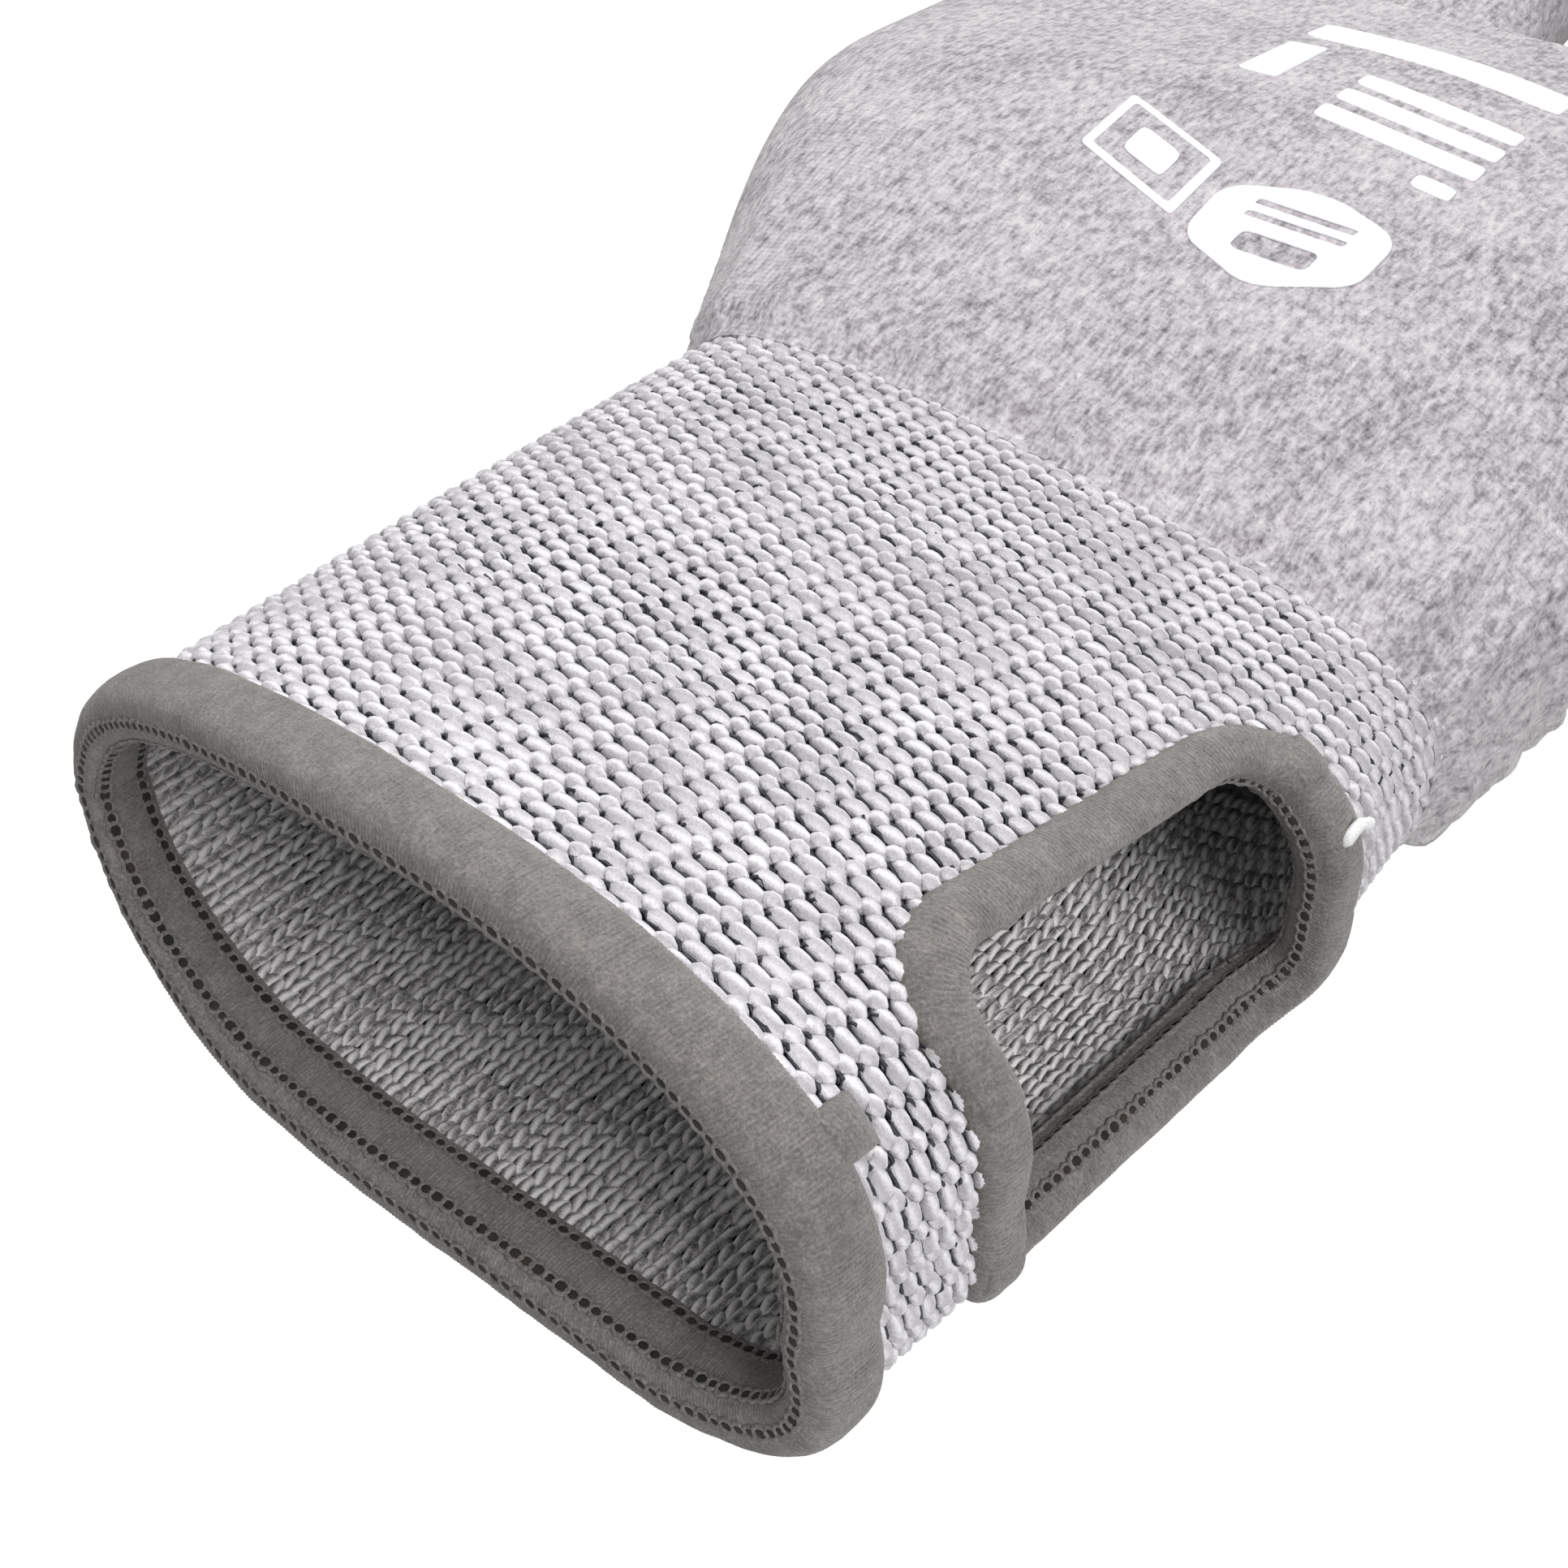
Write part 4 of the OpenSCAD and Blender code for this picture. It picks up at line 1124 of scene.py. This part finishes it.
smooth_mesh(hand_solid, 7)
co, no = mesh_arrays(hand_solid)
uvz = in_frame(co, hand_frame)
u, v, z = uvz.T
pleat_pitch, pleat_depth, pleat_fade = 6.1, 0.55, 13
small_pitch, small_depth = 3.7, 0.3
puff_height, puff_fade = 1.1, 26
hollow_depth, dimple_depth = 0.7, 0.28
crease_pitch, crease_depth = 7.0, 0.9
crease_u, crease_v = 41, 16  # the middle of the creases, beside the thumb's root
past_cuff = co[:, 1] - cuff_l
round_way = np.arctan2(z - 12, u / 2.6) * 32
fade = np.exp(-np.maximum(v - 1.5, 0) / pleat_fade) * smooth((past_cuff + 1.2) / 2.4)
pleats = (np.sin(round_way / pleat_pitch * 2 * math.pi + 0.5 * np.sin(round_way / 9)) * pleat_depth
          + np.sin(round_way / small_pitch * 2 * math.pi + 1.3 + v * 0.05) * small_depth)
puff = smooth((past_cuff + 0.8) / 3.0) * puff_height * np.exp(-np.maximum(v - 4, 0) / puff_fade)
hollows = (np.sin(u / 13 + v / 21 + 0.6) * np.sin(v / 17 - u / 31) * hollow_depth
           + np.sin(u / 7.5 - v / 12 + 2.0) * dimple_depth) * smooth((v - 6) / 20)
thumb_side = np.exp(-((u - crease_u) / 9) ** 2) * np.exp(-((v - crease_v) / 15) ** 2)
crease_way = v * 0.9 + (u - 40) * 0.55
creases = np.sin(crease_way / crease_pitch * 2 * math.pi) * crease_depth * thumb_side
off_table = smooth((z - press) / 3)
move = (pleats * fade * 1.15 + puff + hollows + creases) * off_table
hand_solid.data.vertices.foreach_set("co", ((co + no * move[:, None]) * MM).ravel())
hand_solid.data.update()
smooth_mesh(hand_solid, 1, 0.4)
print("pleats up to", round(float(np.abs(pleats * fade).max()), 2), "mm deep before the smoothing")

# %% [markdown]
# The surface is cut where the design's bodies meet: once round each digit just past its
# root, once half way between its two joints, and where the cuff's edge covers it. Each part then
# gets its wall, inwards, and carries the place of its cloth for the pattern.
# %% Cut the hand into pieces
def bend_length(name, angle):
    return DIGITS[name]["height"] * math.tan(math.radians(angle / 2)) + 1.6


def bends(name):
    """Distances along a digit's line: first joint's start and end, second joint's start and end."""
    first, second = (thumb_bend, thumb_tip_bend) if name == "thumb" else (finger_bend, finger_bend)
    start = thumb_web + 7 if name == "thumb" else 0.0
    middle = 0.56 * DIGITS[name]["length"] + (thumb_web if name == "thumb" else 0)
    half = bend_length(name, second) / 2
    return start, start + bend_length(name, first), middle - half, middle + half


def along_digit(name, s):
    """A point of a digit's middle line, in metres."""
    return tuple(place_in([0, s, DIGITS[name]["height"] / 2], digit_frame(name)) * MM)


root_cut = {name: bends(name)[0] + (1.0 if name == "thumb" else 4.0) for name in DIGITS}
mid_cut = {name: (bends(name)[1] + bends(name)[2]) / 2 for name in DIGITS}


def slice_at(bm, point, direction):
    geom = list(bm.verts) + list(bm.edges) + list(bm.faces)
    bmesh.ops.bisect_plane(bm, geom=geom, plane_co=point, plane_no=direction, dist=1e-7)


bm = bmesh.new()
bm.from_mesh(hand_solid.data)
wrist_cut = cuff_l - 1.6
slice_at(bm, (0, wrist_cut * MM, 0), (0, 1, 0))
for name in DIGITS:
    heading = math.radians(digit_frame(name)[2])
    forward = (-math.sin(heading), math.cos(heading), 0)
    for s in (root_cut[name], mid_cut[name]):
        slice_at(bm, along_digit(name, s), forward)
bm.normal_update()
bm.verts.ensure_lookup_table()
whole_normals = np.array([v.normal[:] for v in bm.verts])
whole = np.array([v.co[:] for v in bm.verts]) / MM
quads = [[v.index for v in f.verts] for f in bm.faces]
middles = np.array([f.calc_center_median()[:] for f in bm.faces]) / MM
bm.free()
owner = np.where(middles[:, 1] > wrist_cut, 0, -1)
pieces_of_hand = ["hand"]
for name in DIGITS:
    local = in_frame(middles, digit_frame(name))
    lane = (np.abs(local[:, 0]) < DIGITS[name]["width"] / 2 + 2.2) & (local[:, 1] < digit_reach(name) + 4)
    pieces_of_hand += [name + "_lower", name + "_tip"]
    owner[lane & (local[:, 1] > root_cut[name])] = len(pieces_of_hand) - 2
    owner[lane & (local[:, 1] > mid_cut[name])] = len(pieces_of_hand) - 1


def cloth_place(points, name):
    """The knit's own coordinates: across and along the wales, and height."""
    if name.startswith("thumb"):
        return in_frame(points, digit_frame("thumb")) + [60, 0, 0]
    return in_frame(points, hand_frame)


def walled_piece(title, number):
    """The part of the surface with that number, with its wall and its cloth's places."""
    own = [quads[k] for k in np.flatnonzero(owner == number)]
    used = sorted({i for f in own for i in f})
    renumber = {old: new for new, old in enumerate(used)}
    outer, normal = whole[used], whole_normals[used]
    inner = outer - normal * hand_t
    n = len(used)
    faces = [[renumber[i] for i in f] for f in own]
    rim = open_edges(faces)
    cloth = cloth_place(outer, title)
    piece = new_piece(title, np.concatenate([outer, inner]), walled(faces, n), material=hand_knit,
                      cloth=np.concatenate([cloth, cloth]))
    sharp = piece.data.attributes.new("sharp_edge", "BOOLEAN", "EDGE")
    edge_at = np.empty(len(piece.data.edges) * 2, np.int32)
    piece.data.edges.foreach_get("vertices", edge_at)
    on_rim = {frozenset(e) for e in rim} | {frozenset((a + n, b + n)) for a, b in rim}
    sharp.data.foreach_set("value", [frozenset(e) in on_rim for e in edge_at.reshape(-1, 2).tolist()])
    return piece


hand_pieces = {}
for number, part in enumerate(pieces_of_hand):
    title = "hand_shell" if part == "hand" else part + "_shell"
    hand_pieces[part] = walled_piece(title, number)
    print(title, len(hand_pieces[part].data.polygons), "faces")
bpy.data.objects.remove(hand_solid)

# %% [markdown]
# The prints are a thin white film pressed on the back of the hand. Each shape is drawn flat in
# the hand's own directions and filled with small triangles, and every point is then dropped onto
# the knit, so that the film follows each hollow.
# %% The transfer prints
hand_tree = BVHTree.FromPolygons((whole * MM).tolist(), quads)
film_t = 0.16
film_sink = 0.05
film_cell = 0.7


def rounded_outline(corners, radius, steps=6):
    """A closed outline whose corners are rounded."""
    c = np.array(corners, float)
    outline = []
    for before, here, after in zip(np.roll(c, 1, 0), c, np.roll(c, -1, 0)):
        a = here + (before - here) / np.linalg.norm(before - here) * radius
        b = here + (after - here) / np.linalg.norm(after - here) * radius
        for k in np.linspace(0, 1, steps):
            outline.append((1 - k) ** 2 * a + 2 * k * (1 - k) * here + k ** 2 * b)
    return outline


def slanted(left, right, low, high, skew):
    return [(left, low), (right, low + skew), (right, high + skew), (left, high)]


def film(name, outlines, holes=()):
    """A film with the outlines, less the holes, laid on the back of the hand."""
    points, loops = [], []
    for outline in list(outlines) + list(holes):
        loops.append(list(range(len(points), len(points) + len(outline))))
        points += [Vector(p) for p in outline]
    low = np.min([p[:] for p in points], 0)
    high = np.max([p[:] for p in points], 0)
    for gu in np.arange(low[0] + film_cell / 2, high[0], film_cell):
        for gv in np.arange(low[1] + film_cell / 2, high[1], film_cell):
            points.append(Vector((gu, gv)))
    edges = [(a, b) for loop in loops for a, b in zip(loop, loop[1:] + loop[:1])]
    flat_points, _, triangles, *_ = geometry.delaunay_2d_cdt(points, edges, [], 0, 1e-5)
    flat_points = np.array([p[:] for p in flat_points])

    def inside(loop, p):
        ring = np.array([points[i][:] for i in loop])
        a, b = ring, np.roll(ring, -1, 0)
        cross = (a[:, 1] > p[1]) != (b[:, 1] > p[1])
        rise = np.where(b[:, 1] == a[:, 1], 1, b[:, 1] - a[:, 1])
        at = a[:, 0] + (p[1] - a[:, 1]) / rise * (b - a)[:, 0]
        return np.count_nonzero(cross & (p[0] < at)) % 2 == 1

    kept = [t for t in triangles
            if any(inside(loop, flat_points[t].mean(0)) for loop in loops[:len(outlines)])
            and not any(inside(loop, flat_points[t].mean(0)) for loop in loops[len(outlines):])]
    used = sorted({i for t in kept for i in t})
    renumber = {old: new for new, old in enumerate(used)}
    flat_points = flat_points[used]
    spots, up = [], []
    for p in place_in(np.column_stack([flat_points, np.full(len(used), 60.0)]), hand_frame):
        hit, normal, _, _ = hand_tree.ray_cast(Vector(p * MM), Vector((0, 0, -1)))
        spots.append(np.array(hit) / MM)
        up.append(normal)
    spots, up = np.array(spots), np.array(up)
    n = len(used)
    top = [[renumber[i] for i in t] for t in kept]
    cloth = np.column_stack([flat_points, np.zeros(n)])
    piece = new_piece(name, np.concatenate([spots + up * film_t, spots - up * film_sink]),
                      walled(top, n), material=print_ink, cloth=np.concatenate([cloth, cloth]))
    return outward_faces(piece)


badge_shape = rounded_outline([(2.6, 25.0), (9.8, 29.5), (10.0, 38.5), (2.6, 42.0), (-4.8, 38.5),
                               (-4.6, 29.5)], 2.6)
badge_marks = [rounded_outline(slanted(-1.6, 6.8, low, low + 1.1, 0), 0.35, 3) for low in (34.6, 36.8)]
badge_marks.append(rounded_outline(slanted(-0.6, 5.8, 29.4, 32.6, 0), 0.9, 4))
badge = film("print_badge_film", [badge_shape], badge_marks)
outer_frame = rounded_outline(slanted(-17.3, -6.3, 38, 48, -6.6), 0.6, 3)
inner_frame = rounded_outline(slanted(-16.4, -7.2, 38.4, 46.6, -5.5), 0.4, 3)
panel = rounded_outline(slanted(-14.1, -9.5, 39.0, 43.2, -2.7), 0.8, 3)
frame_film = film("print_frame_film", [outer_frame], [inner_frame])
panel_film = film("print_panel_film", [panel])
bar_rows = [(-4.2, 11, 54.5, 57.7, -2.5), (-4.2, 11, 59.5, 62.7, -2.5), (-4.2, 11, 64.5, 67.7, -2.5),
            (-13.4, -9.8, 60.4, 73, 0), (-13.6, 11, 77, 83, -3), (7, 10.6, 47.6, 50, -0.6)]
bars_film = film("print_bars_film", [rounded_outline(slanted(*row), 0.7, 4) for row in bar_rows])
print("prints:", len(badge.data.polygons) + len(bars_film.data.polygons), "faces")

# %% [markdown]
# Each fingertip is closed by a few whipped turns of dark thread, and the crotches between the
# fingers are strengthened in the same way. One helper lays such turns along a short line.
# %% Whipped stitches
whip_turns = 7
whip_thread_r = 0.32


def whip(name, middle, line, up, length, radius):
    """Turns of thread round a short line through middle, in millimetres."""
    line = np.array(line, float) / np.linalg.norm(line)
    up = np.array(up, float) / np.linalg.norm(up)
    side = np.cross(line, up)
    g = np.linspace(0, 2 * math.pi * whip_turns, whip_turns * 14)
    k = g / g[-1]
    taper = 0.55 + 0.45 * np.sin(math.pi * k)
    points = (np.array(middle) + np.outer((k - 0.5) * length, line)
              + (np.cos(g) * radius * taper)[:, None] * up + (np.sin(g) * radius * taper)[:, None] * side)
    return strand(name, points, whip_thread_r, thread_black, 6)


closures = {}
for name in DIGITS:
    x, y, turn = digit_frame(name)
    heading = np.array([-math.sin(math.radians(turn)), math.cos(math.radians(turn)), 0])
    far = place_in([0, digit_reach(name) + 20, DIGITS[name]["height"] / 2], digit_frame(name))
    hit = hand_tree.ray_cast(Vector(far * MM), Vector(-heading))[0]
    line = np.array([heading[1], -heading[0], 0])
    closures[name] = whip(name + "_closing_stitch", np.array(hit) / MM - heading * 0.3, line, heading,
                          5.0, 0.55)
crotches = []
for number, pair in enumerate([-1, 0, 1], 1):
    start = place_in([pair * finger_pitch, hand_l + 40, finger_h / 2], hand_frame)
    back = place_in([0, -1, 0], (0, 0, lean))
    hit = hand_tree.ray_cast(Vector(start * MM), Vector(back))[0]
    crotches.append(whip(f"crotch_stitch_{number}", np.array(hit) / MM + back * 0.1, (0, 0, 1),
                         -back, 6.0, 0.6))
print("closing stitches:", len(closures), "crotch stitches:", len(crotches))

# %% [markdown]
# Now the cuff's pieces, the prints and the stitches are each told which body carries them, and the
# design solids that they stand for are hidden. The hand's knit pieces stay where they are, and the
# design's solids for them are hidden too.
# %% Bodies of the pieces
def carry(piece, body, node):
    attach(piece, body)
    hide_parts(node)


for piece in cuff_pieces + [core]:
    carry(piece, "cuff", "cuff_knit")
carry(plating, "cuff", "cuff_knit")
carry(inlay, "cuff", "cuff_elastic_yarns")
carry(mouth_roll, "cuff", "mouth_binding")
carry(window_roll, "cuff", "window_binding")
carry(mouth_chain, "cuff", "mouth_chain_threads")
carry(window_chain, "cuff", "window_chain_threads")
carry(tack, "cuff", "mouth_tack")
for piece in joins:
    carry(piece, "cuff", "window_binding_joins")
carry(tail, "cuff", "thread_tail")
carry(badge, "hand", "print_badge")
carry(frame_film, "hand", "print_frame")
carry(panel_film, "hand", "print_frame")
carry(bars_film, "hand", "print_bars")
for piece in crotches:
    carry(piece, "hand", "crotch_stitches")
for name, piece in closures.items():
    carry(piece, name + "_tip", name + "_tip_closure")

shell = hand_pieces["hand"]
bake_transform(shell)
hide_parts("wrist_knit", "hand_knit", "thumb_gusset_knit")
for name in DIGITS:
    first_start, first_end, second_start, second_end = bends(name)
    lower, tip = hand_pieces[name + "_lower"], hand_pieces[name + "_tip"]
    name + "_lower"
    along_digit(name, root_cut[name])
    along_digit(name, first_end)
    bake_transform(lower)
    name + "_lower"
    name + "_tip"
    along_digit(name, second_start)
    along_digit(name, second_end)
    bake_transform(tip)
    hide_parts(name + "_knuckle_knit", name + "_finger_knit")
    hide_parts(name + "_joint_knit", name + "_tip_knit")

# %% [markdown]
# The stage is a white table that glows evenly but throws no light on the glove, under an even
# white sky. One large soft lamp is high on the left, and a second one on the right reaches in
# through the cuff's window.
# %% Floor, light and camera
bpy.ops.mesh.primitive_plane_add(size=6, location=(0, 0, -0.0004))
floor = bpy.context.object
floor.name = "floor"
paper = bpy.data.materials.new("floor_paper")
paper.use_nodes = True
paper_shader = paper.node_tree.nodes["Principled BSDF"]
paper_shader.inputs["Base Color"].default_value = (0.05, 0.05, 0.05, 1)
paper_shader.inputs["Roughness"].default_value = 1.0
paper_shader.inputs["Specular IOR Level"].default_value = 0.0
paper_shader.inputs["Emission Color"].default_value = (1, 1, 1, 1)
paper_shader.inputs["Emission Strength"].default_value = 1.0
floor.data.materials.append(paper)
floor.visible_diffuse = False

world = bpy.data.worlds.new("white_sky")
world.use_nodes = True
world.node_tree.nodes["Background"].inputs["Color"].default_value = (1, 1, 1, 1)
world.node_tree.nodes["Background"].inputs["Strength"].default_value = 0.42
bpy.context.scene.world = world


def soft_lamp(name, place, aim, size, power):
    data = bpy.data.lights.new(name, "AREA")
    data.shape = "DISK"
    data.size = size
    data.energy = power
    lamp = bpy.data.objects.new(name, data)
    lamp.location = place
    lamp.rotation_euler = (Vector(aim) - Vector(place)).to_track_quat("-Z", "Y").to_euler()
    bpy.context.scene.collection.objects.link(lamp)


soft_lamp("key_lamp", place=(-0.45, 0.35, 0.75), aim=(0, 0.05, 0.01), size=0.5, power=6.2)
soft_lamp("side_lamp", place=(0.51, -0.18, 0.50), aim=(0, 0.03, 0.01), size=0.35, power=4.0)
bpy.context.scene.view_settings.view_transform = "Standard"

view_azimuth = math.radians(38.0)
view_height = math.radians(40.27)
view_roll = math.radians(3.82)
aim = Vector((0, 35, 15)) * MM
back = Vector((math.sin(view_azimuth) * math.cos(view_height),
               -math.cos(view_azimuth) * math.cos(view_height), math.sin(view_height)))
right = Vector((math.cos(view_azimuth), math.sin(view_azimuth), 0))
up = back.cross(right)
right, up = (right * math.cos(view_roll) + up * math.sin(view_roll),
             up * math.cos(view_roll) - right * math.sin(view_roll))
distance, slide_right, slide_up = 211.17, 0.36, 0.58
camera_data = bpy.data.cameras.new("camera")
camera_data.lens = 73.03
camera_data.sensor_width = 36.0
camera_data.clip_start = 0.01
camera = bpy.data.objects.new("camera", camera_data)
bpy.context.scene.collection.objects.link(camera)
place = aim + (back * distance + right * slide_right + up * slide_up) * MM
turn = Matrix((right, up, back)).transposed().to_4x4()
camera.matrix_world = Matrix.Translation(place) @ turn
bpy.context.scene.camera = camera
print("camera at", [round(c, 3) for c in place])
